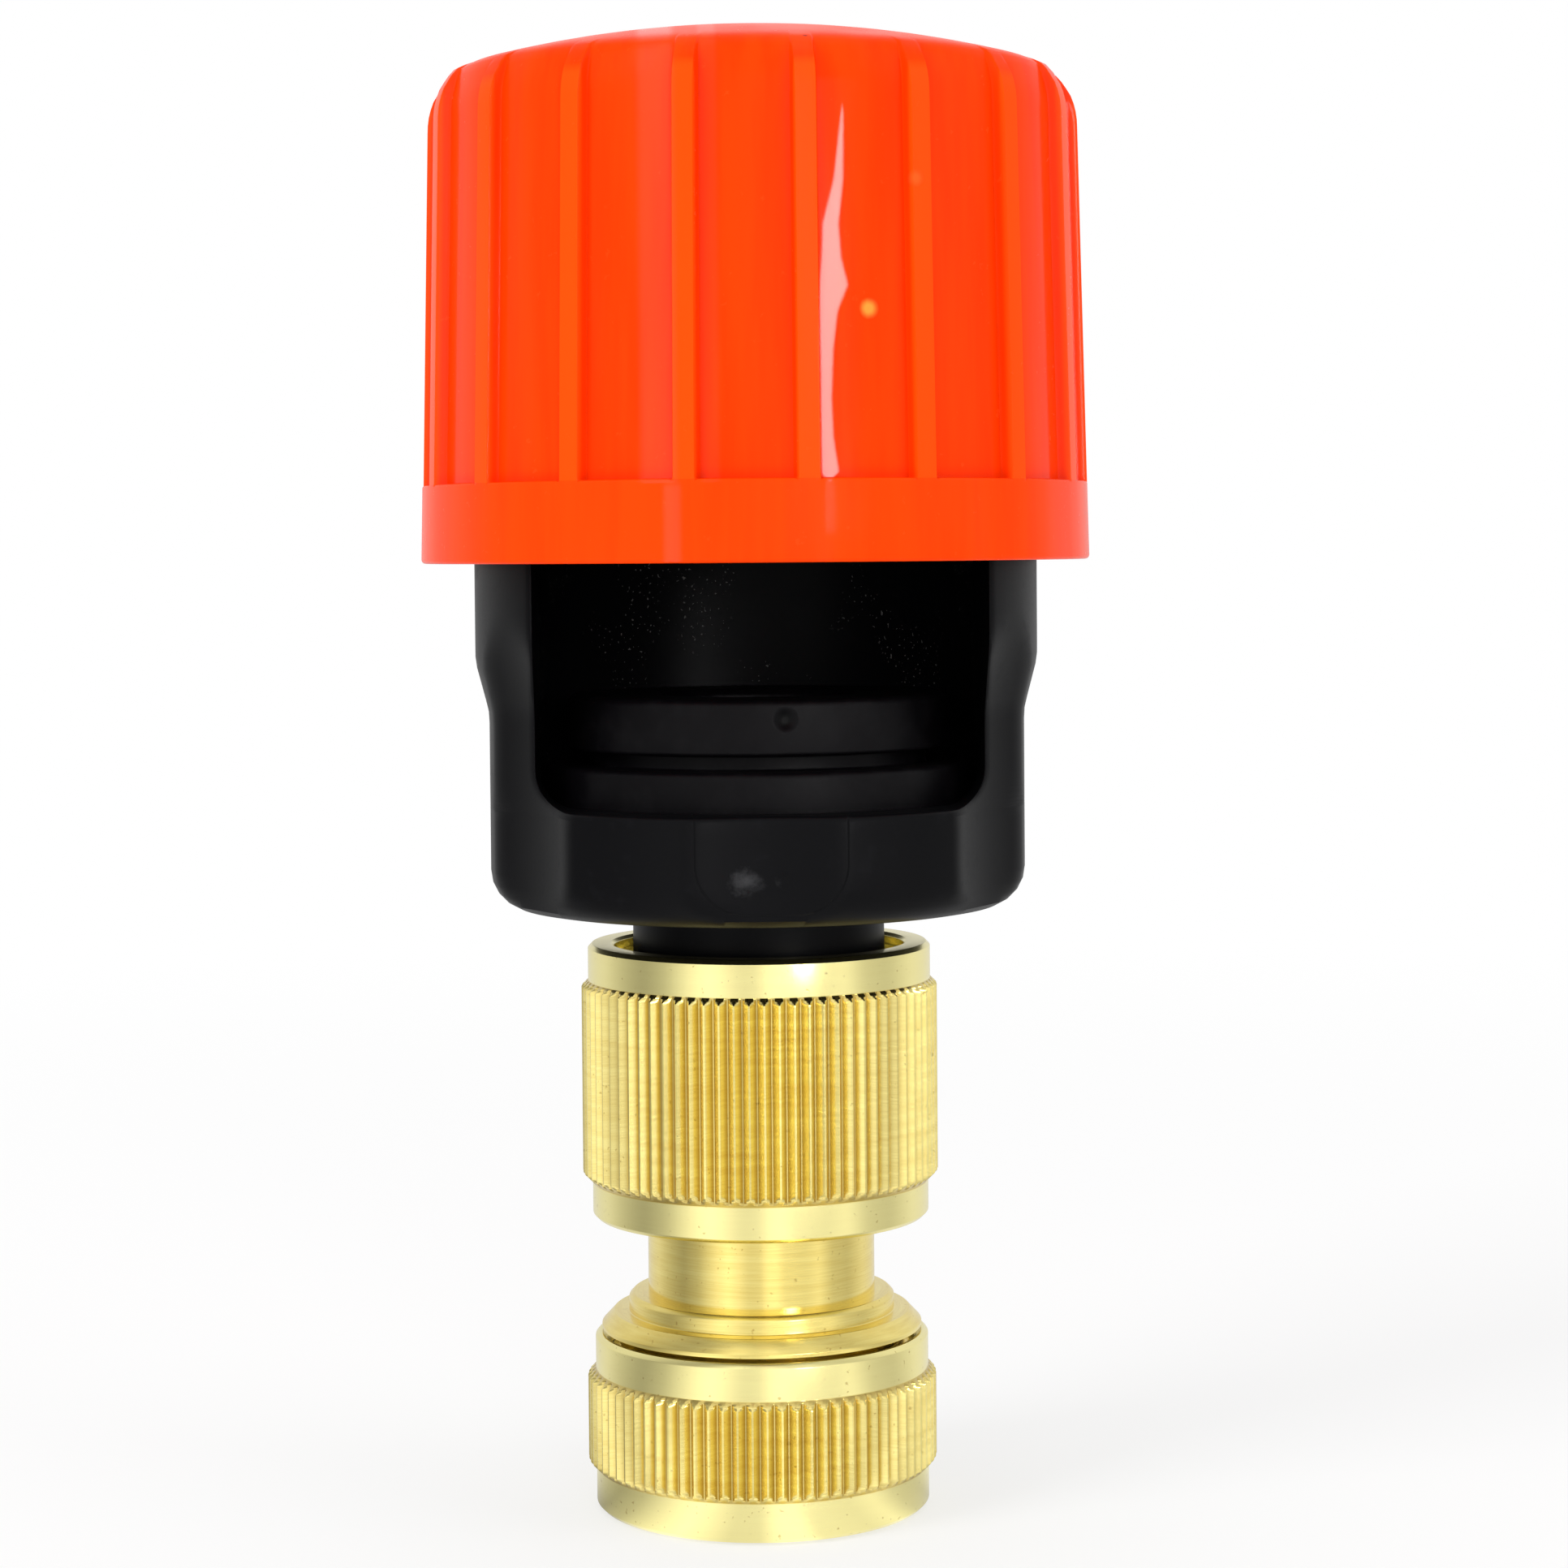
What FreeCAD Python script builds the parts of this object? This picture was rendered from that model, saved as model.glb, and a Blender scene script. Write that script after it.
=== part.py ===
import FreeCAD, Part
import math
import os
from FreeCAD import Vector

# Tap adaptor with a screw cap, and the turned brass click connector for a garden hose snapped on its spigot.
# Lengths are millimetres. Z is the common axis, Z = 0 is the foot of the hose nut, the tap window faces -Y.

# Clearances shared by pieces that fit together
slide_clearance = 0.05
thread_clearance = 0.06
swivel_clearance = 0.07
stop_gap = 0.05
edge_break = 0.35

# Hose nut, from the hose entry outwards
nut_height = 14.3
hose_entry_radius = 8.8
hose_entry_chamfer = 0.6
nut_lip = 2.6
nut_cone_height = 3.0
nut_cone_slope = 0.45
nut_shoulder = 1.75
nut_wall = 1.19
nut_mouth_wall = 0.6
nut_knurl_rise = 0.65
nut_foot_band = 3.2
nut_top_band = 3.0

# Knurl shared by the nut and the collar
knurl_teeth = 76
knurl_depth = 0.6
knurl_stock = 0.2

# Grip collet
collet_entry_gap = 0.55
collet_height = 4.7
collet_play = 0.12
collet_slots = 8
collet_slot_width = 1.1
collet_slot_depth = 3.4
collet_tooth_depth = 0.3

# Tail body: flange, step, outer thread and hose tail
flange_gap = 0.3
flange_inset = 0.55
flange_rim = 0.35
flange_cone = 1.05
flange_cone_inset = 1.0
step_wall = 2.35
step_height = 1.5
thread_relief = 0.7
thread_relief_depth = 0.8
thread_above_collet = 0.58
tail_bore = 4.8
tail_wall = 1.4
barb_rise = 0.6
barb_count = 3
barb_pitch = 1.3
barb_land = 0.26
barb_back = 0.065
tail_root_run = 0.3
joint_wall = 0.75
joint_depth = 5.0
joint_fit = 0.03
joint_seal_thickness = 1.0

# Spigot of the tap body, a standard click profile
bead_radius = 8.6
bead_rise = 1.2
bead_height = 1.6
nose_length = 10.6
nose_chamfer = 0.7
ring_groove_drop = 3.0
ring_groove_width = 2.4
ring_groove_depth = 1.83
ring_cord_radius = 0.92
spigot_wall = 1.35
spigot_neck_wall = 1.6

# Socket sleeve that takes the spigot
bead_play = 0.15
seal_step = 0.9
sleeve_wall = 2.25
neck_wall = 1.5
neck_show = 6.4
rim_gap = 0.1
barrel_over_balls = 0.2
barrel_below_balls = 3.6
socket_floor_gap = 0.58

# Lock balls
ball_radius = 2.0
ball_count = 6
ball_drop = 4.0
ball_play = 0.1
ball_hole_clearance = 0.03
ball_lip = 0.08
ball_lip_inset = 0.6

# Release collar
collar_wall = 1.7
collar_foot_drop = 0.8
collar_mouth_drop = 0.55
collar_foot_wall = 1.65
collar_foot_band = 2.9
collar_mouth_band = 3.0
collar_travel = 3.6
collar_mouth_gap = 0.25
collar_lip = 1.0
collar_over_shoulder = 2.4
collar_web = 1.55
collar_to_body = 2.8
recess_play = 0.2
ramp_margin = 0.045

# Spring, its washer and its clip
clip_rise = 0.7
clip_thickness = 1.0
clip_groove_depth = 0.6
clip_reach = 1.25
clip_gap_angle = 40.0
washer_thickness = 0.8
spring_length = 8.4
spring_wire = 0.9
spring_turns = 4.0

# Tap body
body_radius = 23.05
body_foot_inset = 1.1
body_corner = 3.2
body_foot_rise = 0.35
body_foot_height = 16.3
body_taper_height = 4.2
base_thickness = 7.2
funnel_inset = 5.9
funnel_depth = 4.6
sill_above_floor = 1.8
pocket_wall = 5.15
window_corner = 3.0
window_height = 38.2
window_throat = 2.4
ring_overhang = 1.15
ring_wall = 3.9
ring_chamfer = 0.6
ring_top_gap = 0.1
flute_count = 6
flute_radius = 26.0
flute_depth = 1.45
flute_straight = 16.2
flute_slope = 0.364
flute_runout = 12.0

# Tap seal
seal_side_gap = 0.6
seal_flange_height = 4.9
seal_groove_inset = 3.4
seal_groove_height = 1.2
seal_top_inset = 1.8
seal_top_height = 4.4
seal_hole_radius = 8.0
seal_edge = 0.5

# Screw cap
cap_wall = 3.09
cap_side_lean = 0.85
cap_rim_inset = 1.7
cap_height = 43.0
cap_band_height = 6.3
cap_crown = 3.7
cap_crown_share = 0.95
cap_rim_round = 1.0
cap_shoulder_height = 1.9
cap_shoulder_round = 5.0
cap_ceiling = 2.4
cap_above_pocket = 21.3
cap_mouth_chamfer = 0.8
cap_rest_turn = -2.85
rib_count = 18
rib_width = 1.9
panel_depth = 1.0
panel_top_inset = 0.2
panel_shoulder_drop = 0.6
column_wall = 2.58
column_gap = 0.1
column_web_thickness = 1.8
column_web_reach = 2.8
column_web_spread = 4.0
column_web_count = 4

# Pressure disc, its rubber face and its screw
disc_side_gap = 4.3
disc_thickness = 3.0
disc_boss_wall = 3.25
disc_boss_height = 0.9
face_inset = 1.0
face_thickness = 2.4
face_above_rim = 0.3
screw_radius = 1.6
screw_fit = 0.02
screw_length = 12.0
screw_head_overhang = 2.1
screw_head_height = 1.6
screw_play = 0.25
screw_recess = 0.3

# Radii of the hose end
collet_bore = hose_entry_radius - collet_entry_gap
cone_foot_radius = hose_entry_radius + hose_entry_chamfer
cone_top_radius = cone_foot_radius + nut_cone_height * nut_cone_slope
thread_radius = cone_top_radius + nut_shoulder
nut_bore = thread_radius + thread_clearance
nut_radius = nut_bore + nut_wall
nut_mouth_radius = nut_radius - nut_mouth_wall
nut_knurl_radius = nut_radius + nut_knurl_rise
flange_radius = nut_radius - flange_inset
flange_top_radius = flange_radius - flange_cone_inset
tail_root_radius = tail_bore + tail_wall
barb_radius = tail_root_radius + barb_rise

# Radii of the spigot, its socket and the lock balls
groove_radius = bead_radius - bead_rise
socket_bore = bead_radius + bead_play
seal_bore = socket_bore - seal_step
nose_radius = seal_bore - swivel_clearance
ring_groove_radius = nose_radius - ring_groove_depth
water_bore = ring_groove_radius - spigot_wall
spigot_neck_radius = socket_bore + spigot_neck_wall
sleeve_bore = seal_bore - sleeve_wall
neck_radius = seal_bore + neck_wall
joint_radius = neck_radius - joint_wall
step_radius = joint_radius + step_wall
ball_seat = groove_radius + ball_play + ball_radius
ball_travel = socket_bore - ball_seat + ball_radius
ball_ratio = ball_travel / collar_travel
barrel_radius = ball_seat + ball_radius + barrel_over_balls

# Radii of the release collar
land_radius = barrel_radius + slide_clearance
recess_radius = ball_seat + ball_travel + ball_radius + recess_play
ball_envelope = ball_seat + ball_radius * math.hypot(1, ball_ratio) + ramp_margin
collar_knurl_radius = recess_radius + collar_wall
collar_foot_radius = collar_knurl_radius - collar_foot_drop
collar_mouth_band_radius = collar_knurl_radius - collar_mouth_drop
collar_chamber_radius = collar_foot_radius - collar_foot_wall

# Radii of the tap body, its seal and its cap
body_foot_radius = body_radius - body_foot_inset
pocket_radius = body_radius - pocket_wall
funnel_radius = pocket_radius - funnel_inset
flute_floor = body_foot_radius - flute_depth
ring_radius = body_radius + ring_overhang
ring_bore = ring_radius - ring_wall
seal_flange_radius = pocket_radius - seal_side_gap
seal_groove_radius = seal_flange_radius - seal_groove_inset
seal_top_radius = seal_flange_radius - seal_top_inset
cap_bore = ring_radius + thread_clearance
cap_band_radius = cap_bore + cap_wall
cap_shoulder_radius = cap_band_radius - cap_side_lean
cap_top_radius = cap_shoulder_radius - cap_rim_inset
disc_radius = ring_bore - disc_side_gap
face_radius = disc_radius - face_inset
screw_head_radius = screw_radius + screw_head_overhang
disc_boss_radius = screw_head_radius + screw_play + disc_boss_wall
column_radius = screw_radius + screw_fit + column_wall
column_web_foot = column_radius + column_web_reach
column_web_head = column_web_foot + column_web_spread

# Heights worked up from the foot of the nut
thread_foot_z = nut_lip + collet_play + collet_height + thread_above_collet
tail_tip_z = thread_foot_z - tail_root_run - barb_count * barb_pitch
flange_z = nut_height + flange_gap
flange_top_z = flange_z + flange_rim + flange_cone
step_top_z = flange_top_z + step_height
collar_z = step_top_z + neck_show
clip_z = collar_z + clip_rise
washer_z = clip_z + clip_thickness
spring_z = washer_z + washer_thickness
web_foot_z = spring_z + spring_length
web_top_z = web_foot_z + collar_web
barrel_foot_z = web_top_z + stop_gap
ball_z = barrel_foot_z + barrel_below_balls
shoulder_z = ball_z + ball_drop
collar_top_z = shoulder_z + collar_over_shoulder
body_z = collar_top_z + collar_to_body
floor_z = body_z + base_thickness
sill_z = floor_z + sill_above_floor
window_top_z = sill_z + window_height
cap_z = floor_z + cap_above_pocket
cap_top_z = cap_z + cap_height
cap_rim_z = cap_top_z - cap_crown
cap_shoulder_z = cap_rim_z - cap_shoulder_height
ceiling_z = cap_rim_z - cap_ceiling
column_top_z = cap_top_z - cap_ceiling / 2
ring_top_z = ceiling_z - ring_top_gap
face_z = cap_z + face_above_rim
disc_z = face_z + face_thickness
boss_top_z = disc_z + disc_thickness + disc_boss_height
column_foot_z = boss_top_z + column_gap

# Spigot heights: the bead's upper cone stops one ball play short of the balls
bead_top_z = ball_z + ball_seat - groove_radius - math.sqrt(2) * (ball_radius + ball_play / 2)
bead_z = bead_top_z - bead_rise
bead_foot_z = bead_z - bead_height
nose_z = bead_foot_z - (bead_radius - nose_radius)
spigot_tip_z = nose_z - nose_length


# Closed face in the XZ plane; a corner is (radius, height) or (radius, height, rounding)
def profile_face(corners):
    entries = []
    exits = []
    middles = []
    for index, corner in enumerate(corners):
        here = Vector(corner[0], 0, corner[1])
        before = Vector(corners[index - 1][0], 0, corners[index - 1][1])
        following = corners[(index + 1) % len(corners)]
        after = Vector(following[0], 0, following[1])
        if len(corner) == 2:
            entries.append(here)
            exits.append(here)
            middles.append(None)
            continue
        to_before = (before - here).normalize()
        to_after = (after - here).normalize()
        half_angle = to_before.getAngle(to_after) / 2
        reach = corner[2] / math.tan(half_angle)
        inward = (to_before + to_after).normalize()
        entries.append(here + to_before * reach)
        exits.append(here + to_after * reach)
        middles.append(here + inward * (corner[2] / math.sin(half_angle) - corner[2]))
    edges = []
    for index in range(len(corners)):
        if middles[index]:
            edges.append(Part.Arc(entries[index], middles[index], exits[index]).toShape())
        arrival = entries[(index + 1) % len(corners)]
        edges.append(Part.LineSegment(exits[index], arrival).toShape())
    return Part.Face(Part.Wire(edges))


# Solid of revolution about the Z axis
def turned(corners, angle=360.0):
    return profile_face(corners).revolve(Vector(0, 0, 0), Vector(0, 0, 1), angle)


# Plain ring or disc between two radii
def ring(outer, inner, low, high):
    return turned([(inner, low), (outer, low), (outer, high), (inner, high)])


# Copies of a shape turned about the Z axis
def around(shape, count, start=0.0):
    copies = []
    for index in range(count):
        copy = shape.copy()
        copy.rotate(Vector(0, 0, 0), Vector(0, 0, 1), start + 360.0 * index / count)
        copies.append(copy)
    return copies


# Cutter that leaves V teeth of the given tip radius on a band between two heights
def knurl_cutter(tip_radius, low, high):
    corners = []
    for index in range(2 * knurl_teeth):
        radius = tip_radius if index % 2 == 0 else tip_radius - knurl_depth
        angle = math.pi * index / knurl_teeth
        corners.append(Vector(radius * math.cos(angle), radius * math.sin(angle), low))
    star = Part.Face(Part.makePolygon(corners + corners[:1])).extrude(Vector(0, 0, high - low))
    return ring(tip_radius + 2 * knurl_depth, tip_radius - 2 * knurl_depth, low, high).cut(star)


# Outer corners of a knurled sleeve, from its foot up, with 45 degree ends to the band and room for the cutter
def knurled_side(low, high, foot_radius, top_radius, tip_radius, foot_band, top_band):
    blank = tip_radius + knurl_stock
    return [(foot_radius - edge_break, low),
            (foot_radius, low + edge_break),
            (foot_radius, low + foot_band),
            (blank, low + foot_band + blank - foot_radius),
            (blank, high - top_band - blank + top_radius),
            (top_radius, high - top_band),
            (top_radius, high - edge_break),
            (top_radius - edge_break, high)]


def make_hose_nut():
    mouth_depth = nut_mouth_radius - nut_bore
    side = knurled_side(0, nut_height, nut_radius, nut_radius, nut_knurl_radius, nut_foot_band, nut_top_band)
    inside = [(nut_mouth_radius, nut_height),
              (nut_bore, nut_height - mouth_depth),
              (nut_bore, nut_lip + nut_cone_height),
              (cone_top_radius, nut_lip + nut_cone_height),
              (cone_foot_radius, nut_lip),
              (hose_entry_radius, nut_lip),
              (hose_entry_radius, hose_entry_chamfer),
              (cone_foot_radius, 0)]
    nut = turned(side + inside)
    return nut.cut(knurl_cutter(nut_knurl_radius, nut_foot_band, nut_height - nut_top_band))


def make_tail_body():
    relief_radius = thread_radius - thread_relief_depth
    corners = [(tail_bore, tail_tip_z),
               (tail_root_radius, tail_tip_z)]
    for barb in range(barb_count):
        root = tail_tip_z + (barb + 1) * barb_pitch - barb_land
        corners.append((barb_radius, root - barb_back))
        corners.append((tail_root_radius, root))
    corners += [(tail_root_radius, thread_foot_z),
                (thread_radius - edge_break, thread_foot_z),
                (thread_radius, thread_foot_z + edge_break),
                (thread_radius, flange_z - thread_relief),
                (relief_radius, flange_z - thread_relief),
                (relief_radius, flange_z),
                (flange_radius, flange_z),
                (flange_radius, flange_z + flange_rim),
                (flange_top_radius, flange_top_z),
                (step_radius, flange_top_z),
                (step_radius, step_top_z - edge_break),
                (step_radius - edge_break, step_top_z),
                (joint_radius, step_top_z),
                (joint_radius, step_top_z - joint_depth),
                (tail_bore, step_top_z - joint_depth)]
    return turned(corners)


def make_joint_seal():
    low = step_top_z - joint_depth
    return ring(joint_radius - joint_fit, sleeve_bore, low, low + joint_seal_thickness)


def make_grip_collet():
    foot = nut_lip + collet_play
    cone_foot = cone_foot_radius - collet_play
    cone_top = cone_foot + nut_cone_height * nut_cone_slope
    tooth = collet_bore - collet_tooth_depth
    mid = foot + nut_cone_height / 2
    collet = turned([(tooth, foot),
                     (cone_foot, foot),
                     (cone_top, foot + nut_cone_height),
                     (cone_top, foot + collet_height),
                     (collet_bore, foot + collet_height),
                     (collet_bore, mid + collet_tooth_depth),
                     (tooth, mid),
                     (collet_bore, mid),
                     (collet_bore, foot + collet_tooth_depth)])
    slot = Part.makeBox(2 * cone_top, collet_slot_width, 2 * collet_slot_depth,
                        Vector(0, -collet_slot_width / 2, foot - collet_slot_depth))
    return collet.cut(Part.makeCompound(around(slot, collet_slots)))


def make_socket_sleeve():
    rim_z = shoulder_z - rim_gap
    sleeve_foot = step_top_z - joint_depth + joint_seal_thickness
    seat_z = bead_foot_z - edge_break
    floor = spigot_tip_z - socket_floor_gap
    groove = neck_radius - clip_groove_depth
    sleeve = turned([(sleeve_bore, sleeve_foot),
                     (joint_radius - joint_fit, sleeve_foot),
                     (joint_radius - joint_fit, step_top_z),
                     (neck_radius, step_top_z),
                     (neck_radius, clip_z),
                     (groove, clip_z),
                     (groove, washer_z),
                     (neck_radius, washer_z),
                     (neck_radius, barrel_foot_z),
                     (barrel_radius, barrel_foot_z),
                     (barrel_radius, rim_z - edge_break),
                     (barrel_radius - edge_break, rim_z),
                     (socket_bore + edge_break, rim_z),
                     (socket_bore, rim_z - edge_break),
                     (socket_bore, seat_z),
                     (seal_bore, seat_z - seal_step),
                     (seal_bore, floor),
                     (sleeve_bore, floor)])
    hole_radius = ball_radius + ball_hole_clearance
    lip_end = ball_seat - ball_lip_inset
    outward = Vector(1, 0, 0)
    hole = Part.makeCylinder(hole_radius, barrel_radius, Vector(lip_end, 0, ball_z), outward)
    lip_hole = Part.makeCylinder(ball_radius - ball_lip, lip_end, Vector(socket_bore / 2, 0, ball_z), outward)
    return sleeve.cut(Part.makeCompound(around(hole.fuse(lip_hole), ball_count)))


def make_release_collar():
    ramp_z = ball_z + (land_radius - ball_envelope) / ball_ratio
    ramp_top_z = ramp_z + (recess_radius - land_radius) / ball_ratio
    mouth = barrel_radius + collar_mouth_gap
    side = knurled_side(collar_z, collar_top_z, collar_foot_radius, collar_mouth_band_radius,
                        collar_knurl_radius, collar_foot_band, collar_mouth_band)
    inside = [(mouth, collar_top_z),
              (mouth, collar_top_z - collar_lip),
              (recess_radius, collar_top_z - collar_lip),
              (recess_radius, ramp_top_z),
              (land_radius, ramp_z),
              (land_radius, web_top_z),
              (neck_radius + slide_clearance, web_top_z),
              (neck_radius + slide_clearance, web_foot_z),
              (collar_chamber_radius, web_foot_z),
              (collar_chamber_radius, collar_z)]
    collar = turned(side + inside)
    return collar.cut(knurl_cutter(collar_knurl_radius, collar_z + collar_foot_band,
                                   collar_top_z - collar_mouth_band))


def make_spring_clip():
    clip = ring(neck_radius + clip_reach, neck_radius - clip_groove_depth, clip_z, washer_z)
    reach = neck_radius + 2 * clip_reach
    half = math.radians(clip_gap_angle / 2)
    gap = Part.Face(Part.makePolygon([Vector(0, 0, clip_z),
                                      Vector(reach * math.cos(half), -reach * math.sin(half), clip_z),
                                      Vector(reach / math.cos(half), 0, clip_z),
                                      Vector(reach * math.cos(half), reach * math.sin(half), clip_z),
                                      Vector(0, 0, clip_z)]))
    return clip.cut(gap.extrude(Vector(0, 0, clip_thickness)))


def make_spring_washer():
    return ring(collar_chamber_radius - 2 * slide_clearance, neck_radius + slide_clearance, washer_z, spring_z)


def make_collar_spring():
    mean_radius = (neck_radius + collar_chamber_radius) / 2
    height = web_foot_z - spring_z - spring_wire - 2 * stop_gap
    start_z = spring_z + stop_gap + spring_wire / 2
    helix = Part.makeLongHelix(height / spring_turns, height, mean_radius)
    helix.translate(Vector(0, 0, start_z))
    section = Part.Wire(Part.makeCircle(spring_wire / 2, Vector(mean_radius, 0, start_z), Vector(0, 1, 0)))
    return Part.Wire(helix).makePipeShell([section], True, True)


def make_lock_ball(index):
    angle = 2 * math.pi * index / ball_count
    centre = Vector(ball_seat * math.cos(angle), ball_seat * math.sin(angle), ball_z)
    return Part.makeSphere(ball_radius, centre)


def make_spigot_o_ring():
    cord_z = nose_z - ring_groove_drop - ring_groove_width / 2
    return Part.makeTorus(seal_bore - slide_clearance - ring_cord_radius, ring_cord_radius, Vector(0, 0, cord_z))


def make_tap_body():
    groove_top = nose_z - ring_groove_drop
    groove_foot = groove_top - ring_groove_width
    taper_z = body_z + body_foot_height
    body = turned([(water_bore, spigot_tip_z),
                   (nose_radius - nose_chamfer, spigot_tip_z),
                   (nose_radius, spigot_tip_z + nose_chamfer),
                   (nose_radius, groove_foot),
                   (ring_groove_radius, groove_foot),
                   (ring_groove_radius, groove_top),
                   (nose_radius, groove_top),
                   (nose_radius, nose_z),
                   (bead_radius, bead_foot_z),
                   (bead_radius, bead_z),
                   (groove_radius, bead_top_z),
                   (groove_radius, shoulder_z),
                   (spigot_neck_radius, shoulder_z),
                   (spigot_neck_radius, body_z),
                   (body_foot_radius, body_z + body_foot_rise, body_corner),
                   (body_foot_radius, taper_z),
                   (body_radius, taper_z + body_taper_height),
                   (body_radius, window_top_z),
                   (ring_radius - ring_chamfer, window_top_z),
                   (ring_radius, window_top_z + ring_chamfer),
                   (ring_radius, ring_top_z - ring_chamfer),
                   (ring_radius - ring_chamfer, ring_top_z),
                   (ring_bore, ring_top_z),
                   (ring_bore, window_top_z),
                   (pocket_radius, window_top_z - window_throat),
                   (pocket_radius, floor_z),
                   (funnel_radius, floor_z),
                   (water_bore, floor_z - funnel_depth)])
    body = body.cut(make_window())
    return body.cut(Part.makeCompound(around(make_flute(), flute_count, -90.0)))


# Prism that opens the pocket towards the front, with rounded lower corners
def make_window():
    outline = profile_face([(-pocket_radius, sill_z, window_corner),
                            (pocket_radius, sill_z, window_corner),
                            (pocket_radius, window_top_z),
                            (-pocket_radius, window_top_z)])
    return outline.extrude(Vector(0, -2 * body_radius, 0))


# One finger flute: an upright cylinder beside the body whose top runs out in a cone
def make_flute():
    straight_z = body_z + flute_straight
    tool = turned([(0, body_z - body_corner),
                   (flute_radius, body_z - body_corner),
                   (flute_radius, straight_z),
                   (flute_radius - flute_runout * flute_slope, straight_z + flute_runout),
                   (0, straight_z + flute_runout)])
    tool.translate(Vector(flute_floor + flute_radius, 0, 0))
    return tool


def make_tap_seal():
    groove_z = floor_z + seal_flange_height
    top_foot_z = groove_z + seal_groove_height
    top_z = top_foot_z + seal_top_height
    return turned([(seal_hole_radius, floor_z),
                   (seal_flange_radius, floor_z),
                   (seal_flange_radius, groove_z, seal_edge),
                   (seal_groove_radius, groove_z),
                   (seal_groove_radius, top_foot_z),
                   (seal_top_radius, top_foot_z),
                   (seal_top_radius, top_z, seal_edge),
                   (seal_hole_radius + seal_edge, top_z),
                   (seal_hole_radius, top_z - seal_edge)])


# Corner whose rounding turns the two slopes around it into a shallow dome
def crown_corner(radius, height):
    slope = math.atan2(cap_crown, radius / 2)
    return (radius / 2, height, cap_crown_share * radius / 2 / math.tan(slope / 2))


def make_screw_cap():
    shell = turned([(cap_bore + cap_mouth_chamfer, cap_z),
                    (cap_band_radius, cap_z),
                    (cap_shoulder_radius, cap_shoulder_z, cap_shoulder_round),
                    (cap_top_radius, cap_rim_z, cap_rim_round),
                    crown_corner(cap_top_radius, cap_top_z),
                    (0, cap_top_z),
                    (0, ceiling_z + cap_crown),
                    crown_corner(cap_bore, ceiling_z + cap_crown),
                    (cap_bore, ceiling_z),
                    (cap_bore, cap_z + cap_mouth_chamfer)])
    shell = shell.cut(make_panels())
    webs = Part.makeCylinder(column_radius, column_top_z - column_foot_z, Vector(0, 0, column_foot_z))
    outline = profile_face([(0, column_foot_z),
                            (column_web_foot, column_foot_z),
                            (column_web_head, column_top_z),
                            (0, column_top_z)])
    outline.translate(Vector(0, -column_web_thickness / 2, 0))
    web = outline.extrude(Vector(0, column_web_thickness, 0))
    for copy in around(web, column_web_count):
        webs = webs.fuse(copy)
    hole = Part.makeCylinder(screw_radius + screw_fit, screw_length, Vector(0, 0, column_foot_z))
    return shell.fuse(webs).removeSplitter().cut(hole)


# Sunk panels between the ribs of the cap
def make_panels():
    floor = cap_z + cap_band_height
    top = cap_rim_z - panel_top_inset
    outside = cap_band_radius + panel_depth
    lean = cap_side_lean / (cap_shoulder_z - cap_z)
    floor_radius = cap_band_radius - lean * cap_band_height - panel_depth
    rib_angle = math.degrees(rib_width / cap_band_radius)
    panel_angle = 360.0 / rib_count - rib_angle
    panel = turned([(floor_radius, floor),
                    (outside, floor),
                    (outside, top),
                    (cap_top_radius, top),
                    (cap_shoulder_radius - panel_depth, cap_shoulder_z - panel_shoulder_drop, cap_shoulder_round)],
                   panel_angle)
    return Part.makeCompound(around(panel, rib_count, cap_rest_turn - 90.0 - panel_angle / 2))


def make_pressure_disc():
    hole = screw_radius + screw_play
    recess = screw_head_radius + screw_play
    recess_top = disc_z + screw_recess + screw_head_height + stop_gap
    return turned([(recess, disc_z),
                   (disc_radius - edge_break, disc_z),
                   (disc_radius, disc_z + edge_break),
                   (disc_radius, disc_z + disc_thickness - edge_break),
                   (disc_radius - edge_break, disc_z + disc_thickness),
                   (disc_boss_radius, disc_z + disc_thickness),
                   (disc_boss_radius, boss_top_z),
                   (hole, boss_top_z),
                   (hole, recess_top),
                   (recess, recess_top)])


def make_pad_face():
    return turned([(0, face_z),
                   (face_radius, face_z, seal_edge),
                   (face_radius, disc_z),
                   (0, disc_z)])


def make_pad_screw():
    head_z = disc_z + screw_recess
    shank_z = head_z + screw_head_height
    tip_z = column_foot_z + screw_length - screw_radius
    return turned([(0, head_z),
                   (screw_head_radius, head_z),
                   (screw_head_radius, shank_z),
                   (screw_radius, shank_z),
                   (screw_radius, tip_z - screw_radius),
                   (0, tip_z)])


pieces = {
    "hose_nut": make_hose_nut(),
    "tail_body": make_tail_body(),
    "joint_seal": make_joint_seal(),
    "grip_collet": make_grip_collet(),
    "socket_sleeve": make_socket_sleeve(),
    "release_collar": make_release_collar(),
    "spring_clip": make_spring_clip(),
    "spring_washer": make_spring_washer(),
    "collar_spring": make_collar_spring(),
    "spigot_o_ring": make_spigot_o_ring(),
    "tap_body": make_tap_body(),
    "tap_seal": make_tap_seal(),
    "screw_cap": make_screw_cap(),
    "pressure_disc": make_pressure_disc(),
    "pad_face": make_pad_face(),
    "pad_screw": make_pad_screw(),
}
for number in range(ball_count):
    pieces["lock_ball_%d" % (number + 1)] = make_lock_ball(number)

os.makedirs("parts", exist_ok=True)
for name, shape in pieces.items():
    if len(shape.Solids) == 1:
        shape = shape.Solids[0]
    shape.exportStep("parts/%s.step" % name)
    box = shape.BoundBox
    print("%-16s solids %d valid %s volume %.1f z %.2f to %.2f" % (
        name, len(shape.Solids), shape.isValid(), shape.Volume, box.ZMin, box.ZMax))
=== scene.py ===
import math
import bmesh
import bpy
import numpy as np
from mathutils import Matrix, Vector


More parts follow.
